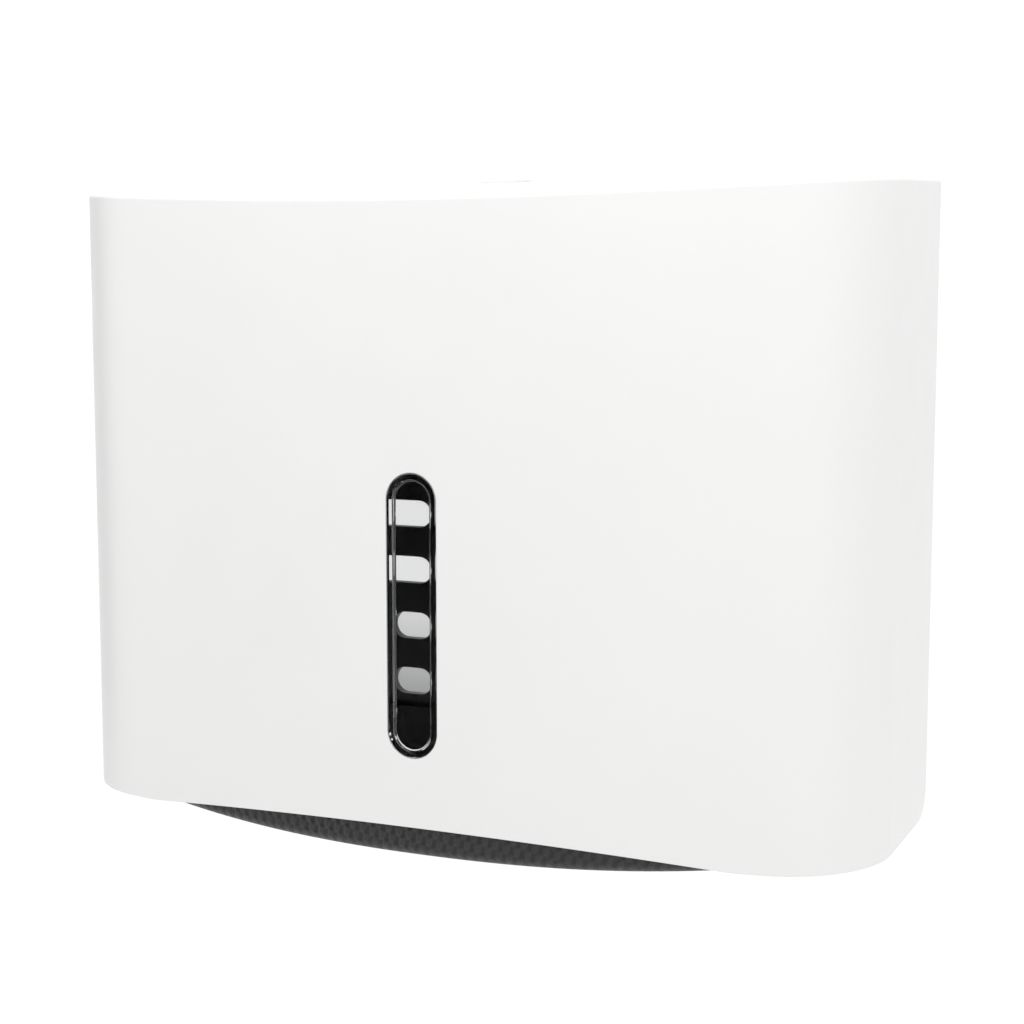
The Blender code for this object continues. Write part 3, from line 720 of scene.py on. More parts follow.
@dataclass(frozen=True)
class Finish:
    """A finish that is made once and shared by its pieces."""

    name: str

    def brew(self, recipe: Recipe) -> None:
        """Wires the finish into a new material."""
        raise NotImplementedError

    def dress(self, piece: Piece, extra: bool = False) -> None:
        """Gives a piece this finish, all over or as an extra one for some of its faces."""
        material = bpy.data.materials.get(self.name)
        if material is None:
            recipe = Recipe(self.name)
            self.brew(recipe)
            material = recipe.material
        if not extra:
            piece.data.materials.clear()
        piece.data.materials.append(material)


@dataclass(frozen=True)
class MouldedPlastic(Finish):
    """Moulded plastic with a fine grain and a slight drift in colour and gloss."""

    light: Three = (0.755, 0.755, 0.75)
    deep: Three = (0.74, 0.74, 0.735)
    gloss_range: Pair = (0.36, 0.46)
    grain_scale: float = 2600.0
    grain_depth: float = 0.02 * MM
    wave_depth: float = 0.05 * MM

    def brew(self, recipe: Recipe) -> None:
        """Wires drift, gloss, grain and the slow wave of a moulded wall."""
        drift = recipe.noise(9.0, 3.0)
        recipe.tint(drift, self.light, self.deep)
        gloss = recipe.noise(60.0, 4.0)
        low, high = self.gloss_range
        recipe.roughen(gloss, low, high)
        grain = recipe.noise(self.grain_scale, 2.0)
        wave = recipe.noise(14.0, 1.0)
        recipe.bump((wave, 0.3, self.wave_depth), (grain, 0.5, self.grain_depth))


@dataclass(frozen=True)
class WovenPlastic(Finish):
    """Dark plastic embossed with slanted lozenges in offset rows, on the piece's own UV map."""

    ground: Three = (0.018, 0.018, 0.019)
    crest: Three = (0.031, 0.031, 0.032)
    pitch: float = 3.5 * MM
    row_pitch: float = 6 * MM
    slant: float = math.radians(12)
    edge: float = 0.6
    relief: float = 0.25 * MM

    def brew(self, recipe: Recipe) -> None:
        """Wires the lozenges as the product of two waves, with grain in between."""
        surface = recipe.place.outputs["UV"]
        turned = recipe.node("Mapping", Vector=surface, Rotation=(0.0, 0.0, self.slant))
        apart = recipe.node("SeparateXYZ", Vector=turned.outputs["Vector"])
        waves = []
        for way, length in (("X", self.pitch), ("Y", self.row_pitch)):
            turn = recipe.calculate("MULTIPLY", apart.outputs[way], 4 * QUARTER / length)
            waves.append(recipe.calculate("SINE", turn))
        product = recipe.calculate("MULTIPLY", *waves)
        height = recipe.node("MapRange", Value=product, From_Min=-self.edge, From_Max=self.edge)
        height.interpolation_type = "SMOOTHSTEP"
        recipe.mix(height.outputs["Result"], self.ground, self.crest)
        gloss = recipe.noise(90.0, 3.0)
        recipe.roughen(gloss, 0.38, 0.5)
        grain = recipe.noise(3000.0, 2.0)
        recipe.bump((height.outputs["Result"], 0.8, self.relief), (grain, 0.5, 0.02 * MM))


@dataclass(frozen=True)
class ClearPlastic(Finish):
    """Polished clear plastic with the faint ripple and wear of a moulded window."""

    colour: Three = (0.80, 0.805, 0.805)
    refraction: float = 1.49

    def brew(self, recipe: Recipe) -> None:
        """Wires the clear body, its ripple and its hair-fine scuffs."""
        drift = recipe.noise(20.0, 2.0)
        darker = tuple(0.985 * value for value in self.colour)
        recipe.tint(drift, self.colour, darker)
        recipe.set(Transmission_Weight=1.0, IOR=self.refraction)
        scuff = recipe.noise(400.0, 4.0, (1, 1, 0.15))
        recipe.roughen(scuff, 0.01, 0.035)
        ripple = recipe.noise(60.0, 1.0)
        recipe.bump((ripple, 0.15, 0.02 * MM))


@dataclass(frozen=True)
class ZincSteel(Finish):
    """Bright zinc on steel, with faint spangle, rolling marks and fingered patches."""

    light: Three = (0.62, 0.62, 0.63)
    deep: Three = (0.50, 0.50, 0.51)

    def brew(self, recipe: Recipe) -> None:
        """Wires the metal, its spangle and its marks."""
        spangle = recipe.noise(500.0, 3.0)
        recipe.tint(spangle, self.light, self.deep)
        recipe.set(Metallic=1.0)
        patch = recipe.noise(120.0, 4.0)
        recipe.roughen(patch, 0.24, 0.4)
        marks = recipe.noise(900.0, 2.0, (1, 1, 0.1))
        recipe.bump((marks, 0.3, 0.01 * MM))


@dataclass(frozen=True)
class Nylon(Finish):
    """Milky nylon that lets a little light in."""

    light: Three = (0.74, 0.72, 0.66)
    deep: Three = (0.68, 0.66, 0.60)

    def brew(self, recipe: Recipe) -> None:
        """Wires the milky body and its turned surface."""
        recipe.tint(recipe.noise(300.0, 3.0), self.light, self.deep)
        recipe.set(Subsurface_Weight=0.3, Subsurface_Radius=(MM, MM, 0.8 * MM), Subsurface_Scale=1.0)
        recipe.roughen(recipe.noise(200.0), 0.4, 0.5)
        recipe.bump((recipe.noise(1500.0), 0.4, 0.02 * MM))


@dataclass(frozen=True)
class StudioPaper(Finish):
    """Matt pale paper of the studio floor."""

    def brew(self, recipe: Recipe) -> None:
        """Wires the paper's faint tooth."""
        recipe.tint(recipe.noise(3.0, 2.0), (0.965, 0.965, 0.965), (0.96, 0.96, 0.96))
        recipe.set(Specular_IOR_Level=0.1)
        recipe.roughen(recipe.noise(30.0), 0.85, 0.95)
        recipe.bump((recipe.noise(700.0), 0.1, 0.05 * MM))


@dataclass(frozen=True)
class PaintedShadePaper(Finish):
    """Pale paper with painted shade: its colour darkens downwards, as a wall does below a lamp."""

    start: float = -0.21
    end: float = -0.33
    upper: Three = (0.95, 0.95, 0.95)
    # upper is the paper's lit colour, lower the grey of the painted shade at its foot.
    lower: Three = (0.36, 0.36, 0.36)

    def brew(self, recipe: Recipe) -> None:
        """Wires the painted shade, a fall from pale to grey over the height, with a faint tooth."""
        apart = recipe.node("SeparateXYZ", Vector=recipe.place.outputs["Object"])
        levels = {"From_Min": self.start, "From_Max": self.end, "To_Min": HALF_LOW, "To_Max": HALF_HIGH}
        fall = recipe.node("MapRange", Value=apart.outputs["Z"], **levels)
        recipe.tint(fall.outputs["Result"], self.upper, self.lower)
        recipe.set(Specular_IOR_Level=0.0)
        recipe.roughen(recipe.noise(30.0), 0.85, 0.95)


@dataclass(frozen=True)
class BlackCloth(Finish):
    """Black cloth of the cards that keep stray light off the window."""

    def brew(self, recipe: Recipe) -> None:
        """Wires the cloth's dull black."""
        recipe.tint(recipe.noise(5.0, 2.0), (0.004, 0.004, 0.004), (0.006, 0.006, 0.006))
        recipe.set(Specular_IOR_Level=0.0, Roughness=1.0)


SHELL_WHITE = MouldedPlastic("satin white shell")
LOCK_WHITE = MouldedPlastic(
    "white lock plastic",
    light=(0.78, 0.78, 0.78),
    deep=(0.74, 0.74, 0.74),
    gloss_range=(0.22, 0.32),
    grain_scale=1800.0,
)
PLATE_BLACK = MouldedPlastic(
    "matt black plate",
    light=(0.022, 0.022, 0.023),
    deep=(0.030, 0.030, 0.031),
    gloss_range=(0.42, 0.55),
    grain_scale=1700.0,
    grain_depth=0.05 * MM,
)
TRAY_WOVEN = WovenPlastic("woven black tray")
# Inside of the tray: plain black without the pattern, and painted darker than the outside as the shade
# in the bowl.
TRAY_INSIDE_PAINTED_SHADE = MouldedPlastic(
    "plain black tray",
    light=(0.006, 0.006, 0.006),
    deep=(0.008, 0.008, 0.008),
    gloss_range=(0.6, 0.7),
    grain_scale=1700.0,
    grain_depth=0.05 * MM,
)
LENS_CLEAR = ClearPlastic("clear window")
ZINC = ZincSteel("zinc steel")
NYLON = Nylon("milky nylon")


def hand_over(piece: Piece, finish: Finish, body: Body, slot: Slot, *nodes: str) -> Piece:
    """Polishes and dresses a finished piece and gives it to its body in the frame.

    Args:
        piece: The finished object.
        finish: What it is made of.
        body: The body that it moves with.
        slot: The record's material slot; not used.
        nodes: The nodes that it stands for.

    Returns:
        The same object.
    """
    polish(piece)
    finish.dress(piece)
    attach(piece, body.value)
    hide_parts(*nodes)
    return piece


# Cover and window


@dataclass
class Window:
    """The clear level window and its place in the cover's front."""

    half_width: float = 8.3 * MM
    half_height: float = 43 * MM
    height: float = 68.2 * MM
    lip: float = 0.2 * MM
    fit: float = 0.12 * MM
    flange: float = 6 * MM
    flange_foot: float = 4 * MM
    flange_thickness: float = 1.3 * MM
    rim: float = 2.1 * MM
    rim_round: float = 0.3 * MM
    dish: float = 1 * MM
    dish_draft: float = 0.35 * MM
    dish_fillet: float = 0.5 * MM
    flange_corner: float = 8.6 * MM
    stake_x: float = 11.3 * MM
    stake_spacing: float = 30 * MM
    stake_radius: float = 1.3 * MM
    stake_head_radius: float = 2.2 * MM
    stake_head: float = 1 * MM

    @property
    def centre(self) -> Pair:
        """The window's middle, as x and z."""
        return (0.0, LEVEL + self.height)

    @property
    def front(self) -> float:
        """Level of the lens's front face."""
        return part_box("window_lens")[0].y

    @property
    def rear(self) -> float:
        """Level of the lens's rear face."""
        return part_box("window_lens")[1].y

    def stakes(self) -> list[Pair]:
        """The six stakes that hold the lens, as x and z."""
        heights = [self.centre[1] + row * self.stake_spacing for row in (-1, 0, 1)]
        return [(side * self.stake_x, height) for side in (-1, 1) for height in heights]

    def cutter(self, face: float, depth: float) -> Piece:
        """The hole in the cover's front, with its rounded lip."""
        half = (self.half_width, self.half_height)
        return add_lipped("window hole", Axis.Y, self.centre, half, face, depth, self.lip)

    def plug(self) -> Piece:
        """The part of the lens that fills the hole, dished in front."""
        half = (self.half_width - self.fit, self.half_height - self.fit)
        plug = add_pill("window_glazing", Axis.Y, self.centre, half, (self.front, self.rear))
        land = self.rim - self.rim_round
        steps = [(land, 0.0), (self.dish_draft, self.dish_fillet - self.dish)]
        steps += [(run, -rise) for rise, run in reversed(lip_steps(self.dish_fillet))]
        step_cap(plug, Vector((0, -1, 0)), steps)
        return plug

    def lens(self) -> Piece:
        """Clear lens with its flange and the holes for the stakes."""
        lens = self.plug()

        def outer_rim(edge: Edge) -> bool:
            """Whether an edge is the plug's outer front rim."""
            place = middle(edge)
            past_straight = abs(place.z - self.centre[1]) - self.half_height + self.half_width
            reach = math.hypot(place.x, max(0.0, past_straight))
            return sharp(edge) and place.y < self.front + TINY and reach > self.half_width - 2 * CLEAR

        round_edges(lens, outer_rim, self.rim_round, 4)
        half = (self.half_width + self.flange, self.half_height + self.flange_foot)
        low, high = pill_corners(self.centre, half)
        front = self.rear - self.flange_thickness
        span = (front, self.rear - CLEAR / 10)
        flange = add_rounded("flange", Axis.Y, low, high, self.flange_corner, span, 8)
        combine(lens, Operation.ADD, flange)
        reach = (front - PAST, self.rear + PAST)
        holes = [
            add_bar(f"stake hole {n}", Axis.Y, place, self.stake_radius + CLEAR, reach, 24)
            for n, place in enumerate(self.stakes())
        ]
        combine(lens, Operation.CUT, one_of(*holes))
        return hand_over(lens, LENS_CLEAR, Body.COVER, Slot.LENS, "window_lens")

    def stake_set(self, root: float) -> Piece:
        """The six stakes with their melted heads, from inside the cover's wall."""
        head = self.rear + CLEAR
        tip = head + self.stake_head
        soft = self.stake_head / 2
        dome = arc((self.stake_head_radius - soft, tip - soft), soft, 0.0, QUARTER, 4)
        profile = [(0.0, root), (self.stake_radius, root), (self.stake_radius, head)]
        profile += [(self.stake_head_radius, head)] + dome + [(0.0, tip)]
        first, *others = self.stakes()
        stake = add_turned("stake 0", Axis.Y, first, profile, 24)
        copies = [
            copy_of(stake, f"stake {n}", (x - first[0], 0.0, z - first[1]))
            for n, (x, z) in enumerate(others, start=1)
        ]
        return one_of(stake, *copies)


@dataclass
class FrontCover:
    """White shell: front, sides and top in one, open at the back and below."""

    window: Window
    width: float = 270 * MM
    depth: float = 92 * MM
    height: float = 198 * MM
    wall: float = 2.5 * MM
    corner_radius: float = 35 * MM
    front_radius: float = 625 * MM
    rear_gap: float = 0.5 * MM
    top_fall: float = 0.036
    crown_rear: float = 3.5 * MM
    crown_front: float = -3.2 * MM
    arch_rise: float = 4 * MM
    arch_half_width: float = 97 * MM
    rear_corner: float = 10 * MM
    top_round: float = 1.2 * MM
    rim_round: float = 0.3 * MM
    wall_margin: float = 1.2
    squeeze: float = 0.15
    top_share: float = 0.75
    corner_steps: int = 20
    front_steps: int = 56
    rear_corner_steps: int = 6
    side_steps: int = 7
    drop_steps: int = 16
    boss_radius: float = 5.5 * MM
    boss_face: float = 131 * MM
    bore_radius: float = 2.3 * MM
    bore_end: float = 133.6 * MM
    seat_radius: float = 9.6 * MM
    seat_lip: float = 0.5 * MM
    lock_boss_radius: float = 11 * MM
    lock_boss_foot: float = 189 * MM
    shaft_radius: float = 6.6 * MM

    def outline(self, inset: float = 0.0) -> list[Pair]:
        """The front half of the cover's plan, from left to right, moved in."""
        half, steps = self.width / 2, (self.corner_steps, self.front_steps)
        return front_plan(half, self.depth, self.front_radius, self.corner_radius, inset, steps)

    def row_shares(self, length: float) -> list[float]:
        """How far each row lies from the rear line to the front, as a share.

        Args:
            length: Distance from the rear line to the front at the cover's sides.

        Returns:
            Shares from 0 to 1, closer together over the rounded rear corner.
        """
        turns = [QUARTER * step / self.rear_corner_steps for step in range(self.rear_corner_steps)]
        rows = [self.rear_corner * (1 - math.cos(turn)) for turn in turns]
        rest = length - self.rear_corner
        count = self.side_steps
        rows += [self.rear_corner + rest * step / count for step in range(count + 1)]
        return [row / length for row in rows]

    def top(self, x: float, y: float) -> float:
        """Level of the cover's top: it falls to the front, is crowned at the wall and dips in front."""
        crown = self.crown_rear - (self.crown_front - self.crown_rear) * y / self.depth
        return LEVEL + self.height + self.top_fall * y + crown * (1 - (2 * x / self.width) ** 2)

    def foot(self, x: float, y: float) -> float:
        """Level of the cover's lower edge: arched in front, and round at the rear corners."""
        if abs(x) < self.arch_half_width:
            return LEVEL + self.arch_rise * (1 - (x / self.arch_half_width) ** 2)
        over = max(0.0, y + self.rear_gap + self.rear_corner)
        return LEVEL + self.rear_corner - math.sqrt(max(0.0, self.rear_corner**2 - over**2))

    def sheet(self) -> Piece:
        """The cover's outside as one sheet: its top, with the walls drawn down from its rim."""
        outline = self.outline()
        shares = self.row_shares(-self.rear_gap - outline[0][1])
        columns, rows = len(outline) - 1, len(shares) - 1
        deselect()
        bpy.ops.mesh.primitive_grid_add(x_subdivisions=columns, y_subdivisions=rows, size=1)
        sheet = adopt("cover_shell")

        margin = self.wall_margin * self.wall
        edge = self.width / 2 - margin
        inner = self.outline(margin)

        def lay(point: Vector) -> Vector:
            """Lays a point of the unit grid on the top, clear of the walls unless it's on the rim."""
            column = round((point.x + 0.5) * columns)
            row = round((point.y + 0.5) * rows)
            x, front_y = outline[column]
            y = -self.rear_gap + (front_y + self.rear_gap) * shares[row]
            if 0 < column < columns and row == rows - 1:
                x, y = inner[column]
            elif 0 < column < columns and row < rows and abs(x) > edge:
                x = math.copysign(edge + self.squeeze * (abs(x) - edge), x)
            return Vector((x, y, self.top(x, y)))

        for vert in sheet.data.vertices:
            vert.co = lay(vert.co)

        def hanging(edge: Edge) -> bool:
            """Whether an edge is on the rim that a wall hangs from."""
            return edge.is_boundary and middle(edge).y < -self.rear_gap - TINY

        with editing(sheet, "EDGE"):
            pick(sheet, "EDGE", hanging)
            for step in range(1, self.drop_steps + 1):
                share = step / self.drop_steps

                def drop(point: Vector, share: float = share) -> Vector:
                    """Places a point of the wall between the top and the lower edge."""
                    top = self.top(point.x, point.y)
                    level = top + (self.foot(point.x, point.y) - top) * share
                    return Vector((point.x, point.y, level))

                pull(sheet, drop)
        return sheet

    def shell(self) -> Piece:
        """The sheet with its wall thickness and rounded edges."""
        shell = self.sheet()
        with editing(shell, "FACE"):
            select_all()
            bpy.ops.mesh.normals_make_consistent(inside=False)
            mesh = bmesh.from_edit_mesh(shell.data)
            highest = max(mesh.faces, key=lambda face: face.calc_center_median().z)
            if highest.normal.z < 0:
                bpy.ops.mesh.flip_normals()
        apply_modifier(shell, "SOLIDIFY", thickness=self.wall, offset=-1, use_even_offset=True)
        high = LEVEL + self.top_share * self.height

        def top_edge(edge: Edge) -> bool:
            """Whether an edge is the outer one between the top and the walls."""
            place = middle(edge)
            outside = place.z > high and place.y < -self.rear_gap - 2 * TINY
            above = place.z > self.top(place.x, place.y) - self.wall / 2
            return outside and above and sharp(edge) and edge.is_convex

        def rim_edge(edge: Edge) -> bool:
            """Whether an edge is on the open rim."""
            return sharp(edge) and edge.is_convex

        round_edges(shell, top_edge, self.top_round, 5)
        round_edges(shell, rim_edge, self.rim_round, 2)
        return shell

    def bosses(self) -> Piece:
        """What stands on the shell's inside: hinge bosses, the lock's boss and the window's stakes."""
        hinge = centre_of("hinge_pin_left")
        inside = self.width / 2 - self.wall / 2
        made = []
        for name, side in SIDES.items():
            span = (side * self.boss_face, side * inside)
            place, boss = (hinge.y, hinge.z), f"hinge boss {name}"
            made.append(add_bar(boss, Axis.X, place, self.boss_radius, span))
        lock = centre_of("lock_barrel")
        span = (LEVEL + self.lock_boss_foot, self.top(0.0, lock.y) - self.wall / 2)
        made.append(add_bar("lock boss", Axis.Z, (lock.x, lock.y), self.lock_boss_radius, span, 64))
        made.append(self.window.stake_set(-self.depth + self.wall / 2))
        return one_of(*made)

    def holes(self) -> list[Piece]:
        """What is cut from the shell: the window, the hinge bores, and the lock's seat and shaft."""
        hinge = centre_of("hinge_pin_left")
        lock = centre_of("lock_barrel")
        cutters = [self.window.cutter(-self.depth, self.wall + PAST)]
        for name, side in SIDES.items():
            span = (side * (self.boss_face - PAST), side * self.bore_end)
            cutters.append(add_bar(f"bore {name}", Axis.X, (hinge.y, hinge.z), self.bore_radius, span))
        flange_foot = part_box("lock_nut")[1].z
        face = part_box("lock_housing")[1].z
        seat = face - PAST - CLEAR
        soft = self.seat_lip
        level = self.top(0.0, lock.y)
        lip = arc((self.seat_radius + soft, level - soft), soft, 2 * QUARTER, QUARTER, 4)
        profile = [(0.0, seat), (self.seat_radius, seat)] + lip
        profile += [(self.seat_radius + soft, level + 3 * PAST), (0.0, level + 3 * PAST)]
        cutters.append(add_turned("lock seat", Axis.Z, (lock.x, lock.y), profile, 64))
        shaft = (flange_foot - PAST, face)
        cutters.append(add_bar("lock shaft", Axis.Z, (lock.x, lock.y), self.shaft_radius, shaft, 64))
        return cutters

    def build(self) -> list[Piece]:
        """Builds the cover and its window.

        Returns:
            The shell and the lens.
        """
        shell = self.shell()
        combine(shell, Operation.ADD, self.bosses())
        combine(shell, Operation.CUT, *self.holes())
        hand_over(shell, SHELL_WHITE, Body.COVER, Slot.SHELL, "front_cover")
        return [shell, self.window.lens()]


# Base: plate, tray, strike and hinge


@dataclass
class BackPlate:
    """Dark plate on the wall, with its rib, slots, hinge lugs and screw holes."""

    half_width: float = 131 * MM
    thickness: float = 3.5 * MM
    bottom: float = 1 * MM
    top: float = 193 * MM
    corner: float = 12 * MM
    rim_round: float = 0.6 * MM
    rib_depth: float = 8 * MM
    rib_thickness: float = 2 * MM
    rib_inset: float = 2.5 * MM
    rib_bottom: float = 24 * MM
    lug_radius: float = 6.3 * MM
    lug_span: Pair = (125 * MM, 129.4 * MM)
    bore_radius: float = 2.3 * MM
    slot_inner_x: float = 36.4 * MM
    slot_half_height: float = 4.6 * MM
    slot_lip: float = 0.4 * MM
    slot_rows: tuple[Pair, ...] = (
        (28.6 * MM, 14.8 * MM),
        (48.2 * MM, 14.8 * MM),
        (67.8 * MM, 40 * MM),
        (87.4 * MM, 40 * MM),
    )
    wall_hole_x: float = 105 * MM
    wall_hole_heights: Pair = (42 * MM, 162 * MM)
    wall_hole_radius: float = 2.75 * MM
    wall_hole_sink_radius: float = 5.2 * MM
    wall_hole_sink: float = 1.4 * MM

    @property
    def face(self) -> float:
        """Level of the plate's front face."""
        return -self.thickness

    def panel(self) -> Piece:
        """The flat plate, with its front rim rounded."""
        low = (-self.half_width, LEVEL + self.bottom)
        high = (self.half_width, LEVEL + self.top)
        panel = add_rounded("wall_plate", Axis.Y, low, high, self.corner, (self.face, 0.0), 12)
        round_edges(panel, ahead_of(self.face + TINY), self.rim_round, 3)
        return panel

    def rib(self) -> Piece:
        """The stiffening rib along the plate's sides and top."""
        outer = self.half_width - self.rib_inset
        inner = outer - self.rib_thickness
        foot = LEVEL + self.rib_bottom
        top = LEVEL + self.top - self.rib_inset
        under = top - self.rib_thickness
        outline = [(-outer, foot), (-outer, top), (outer, top), (outer, foot)]
        outline += [(inner, foot), (inner, under), (-inner, under), (-inner, foot)]
        front = self.face - self.rib_depth
        rib = add_prism("rib", Axis.Y, outline, (front, self.face + PAST))

        def corner(edge: Edge) -> bool:
            """Whether an edge is one of the rib's upper corners."""
            way = edge.verts[1].co - edge.verts[0].co
            return abs(way.normalized().y) > SAME_WAY and middle(edge).z > foot + PAST

        round_edges(rib, corner, 2 * self.rib_thickness, 6)
        round_edges(rib, ahead_of(front + TINY), SOFT_EDGE, 2)
        return rib

    def lugs(self) -> list[Piece]:
        """The two lugs that hold the hinge pins."""
        hinge = centre_of("hinge_pin_left")
        root = self.face + PAST
        nose = arc((hinge.y, hinge.z), self.lug_radius, -QUARTER, -3 * QUARTER, 16)
        outline = [(root, hinge.z - self.lug_radius)] + nose + [(root, hinge.z + self.lug_radius)]
        made = []
        for name, side in SIDES.items():
            span = (side * self.lug_span[0], side * self.lug_span[1])
            lug = add_prism(f"lug {name}", Axis.X, outline, span)
            round_edges(lug, ahead_of(self.face - PAST), SOFT_EDGE, 2)
            made.append(lug)
        return made

    def slots(self) -> list[Piece]:
        """The cutters of the eight slots, with rounded lips in front."""
        made = []
        for row, (height, length) in enumerate(self.slot_rows):
            for name, side in SIDES.items():
                centre = (side * (self.slot_inner_x + length / 2), LEVEL + height)
                half = (length / 2, self.slot_half_height)
                depth = self.thickness + PAST
                slot = f"slot {row} {name}"
                made.append(add_lipped(slot, Axis.Y, centre, half, self.face, depth, self.slot_lip))
        return made

    def round_holes(self) -> Piece:
        """The cutters of the round holes: hinge bores, wall screws, tray screws and strike screws."""
        hinge = centre_of("hinge_pin_left")
        through = (self.face - PAST, PAST)
        sink = (self.face - PAST, self.face + self.wall_hole_sink)
        made = []
        for name, side in SIDES.items():
            span = (side * (self.lug_span[0] - PAST), side * (self.lug_span[1] + PAST))
            made.append(add_bar(f"bore {name}", Axis.X, (hinge.y, hinge.z), self.bore_radius, span, 32))
            for row, height in enumerate(self.wall_hole_heights):
                place = (side * self.wall_hole_x, LEVEL + height)
                profile = [(0.0, sink[0]), (self.wall_hole_sink_radius, sink[0])]
                profile += [(self.wall_hole_sink_radius, sink[1]), (self.wall_hole_radius, sink[1])]
                profile += [(self.wall_hole_radius, through[1]), (0.0, through[1])]
                made.append(add_turned(f"wall hole {row} {name}", Axis.Y, place, profile, 40))
        return one_of(*made, *screw_holes(TRAY_SCREWS + STRIKE_SCREWS, through))

    def build(self) -> list[Piece]:
        """Builds the plate.

        Returns:
            The plate alone.
        """
        plate = self.panel()
        combine(plate, Operation.ADD, self.rib(), *self.lugs())
        combine(plate, Operation.CUT, self.round_holes(), *self.slots())
        return [hand_over(plate, PLATE_BLACK, Body.BASE, Slot.PLATE, "back_plate")]


@dataclass
class BottomTray:
    """Dark bowl below the towels, with the outlet in its floor and a screwed flange behind."""

    front: float = 86.5 * MM
    half_width: float = 121.5 * MM
    front_radius: float = 619.5 * MM
    corner_radius: float = 25 * MM
    bottom: float = -6.6 * MM
    belly_rise: float = 9.6 * MM
    belly_power: float = 2.4
    top: float = 14 * MM
    back_top: float = 20 * MM
    wall: float = 2 * MM
    edge_radius: float = 3 * MM
    inner_edge_radius: float = 1.2 * MM
    edge_steps: int = 6
    corner_steps: int = 14
    front_steps: int = 56
    outlet_half: Pair = (88 * MM, 21 * MM)
    outlet_y: float = -42 * MM
    outlet_rim: float = 2 * MM
    outlet_rim_height: float = 2.2 * MM
    outlet_rim_round: float = 0.5 * MM
    outlet_lip: float = 0.8 * MM
    bend_spacing: float = 6 * MM
    inside_share: float = 0.9
    slope_up: float = 0.3

    @property
    def rear(self) -> float:
        """Level of the tray's rear face, just before the plate."""
        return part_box("bottom_tray")[1].y

    def rise(self, x: float) -> float:
        """How far the underside lies above its lowest point: more towards the sides."""
        return self.belly_rise * (abs(x) / self.half_width) ** self.belly_power

    def plan(self, inset: float) -> list[Pair]:
        """The tray's front half seen from above, moved in."""
        half, steps = self.half_width, (self.corner_steps, self.front_steps)
        return front_plan(half, self.front, self.front_radius, self.corner_radius, inset, steps)

    def bowl(
        self, name: str, inset: float, rear: float, floor: float, brim: float, soft: float
    ) -> Piece:
        """A solid bowl with its lower front and side edge rounded.

        Args:
            name: Name of the object.
            inset: How far its walls are moved in from the tray's outside.
            rear: Level of its rear face.
            floor: Height of its floor at the lowest point.
            brim: Height of its flat top.
            soft: Radius of the rounded edge.

        Returns:
            The object.
        """
        places = self.plan(inset + soft)
        columns = len(places) - 1
        deselect()
        bpy.ops.mesh.primitive_grid_add(x_subdivisions=columns, y_subdivisions=1, size=1)
        solid = adopt(name)
        for vert in solid.data.vertices:
            x, front = places[round((vert.co.x + 0.5) * columns)]
            vert.co = Vector((x, front if vert.co.y < 0 else rear, LEVEL + floor + self.rise(x)))
        with editing(solid, "EDGE"):
            pick(solid, "EDGE", lambda edge: edge.is_boundary)
            for step in range(1, self.edge_steps + 2):
                turn = QUARTER * min(step, self.edge_steps) / self.edge_steps
                drawn = self.plan(inset + soft * (1 - math.sin(turn)))
                up = floor + soft * (1 - math.cos(turn))
                at_brim = step > self.edge_steps

                def settle(point: Vector) -> Vector:
                    """Moves a point of the last ring to its place on this one."""
                    nearest = min(range(len(places)), key=lambda n: abs(places[n][0] - point.x))
                    x, front = drawn[nearest]
                    level = brim if at_brim else up + self.rise(x)
                    return Vector((x, rear if point.y > rear - TINY else front, LEVEL + level))

                pull(solid, settle)
                places = drawn
            bpy.ops.mesh.edge_face_add()
        tidy_mesh(solid)
        return solid

    def bent(self, shape: Piece) -> Piece:
        """Splits a shape along its length and lifts it with the curve of the underside."""
        low = min(vert.co.x for vert in shape.data.vertices)
        high = max(vert.co.x for vert in shape.data.vertices)
        cuts = round((high - low) / self.bend_spacing)
        with editing(shape):
            for cut in range(1, cuts):
                select_all()
                place = (low + (high - low) * cut / cuts, 0.0, 0.0)
                bpy.ops.mesh.bisect(plane_co=place, plane_no=(1.0, 0.0, 0.0))
        for vert in shape.data.vertices:
            vert.co.z += self.rise(vert.co.x)
        return shape

    def lay_map(self, tray: Piece) -> None:
        """Gives the tray a UV map in metres, so that its pattern keeps its size on floor and walls."""
        for old in list(tray.data.uv_layers):
            tray.data.uv_layers.remove(old)
        layer = tray.data.uv_layers.new(name="surface")
        for face in tray.data.polygons:
            facing = [abs(value) for value in face.normal]
            across, up = ((1, 2), (0, 2), (0, 1))[facing.index(max(facing))]
            for loop in face.loop_indices:
                place = tray.data.vertices[tray.data.loops[loop].vertex_index].co
                layer.data[loop].uv = (place[across], place[up])

    def build(self) -> list[Piece]:
        """Builds the tray.

        Returns:
            The tray alone.
        """
        inner_rear = self.rear - self.wall
        floor = self.bottom + self.wall
        tray = self.bowl("towel_tray", 0.0, self.rear, self.bottom, self.top, self.edge_radius)
        half = self.half_width - self.wall
        low = (-half, inner_rear, LEVEL + self.top - PAST)
        high = (half, self.rear - CLEAR / 10, LEVEL + self.back_top)
        combine(tray, Operation.ADD, add_block("flange", low, high))
        open_top = self.back_top + PAST
        hollow = self.bowl("hollow", self.wall, inner_rear, floor, open_top, self.inner_edge_radius)
        combine(tray, Operation.CUT, hollow)

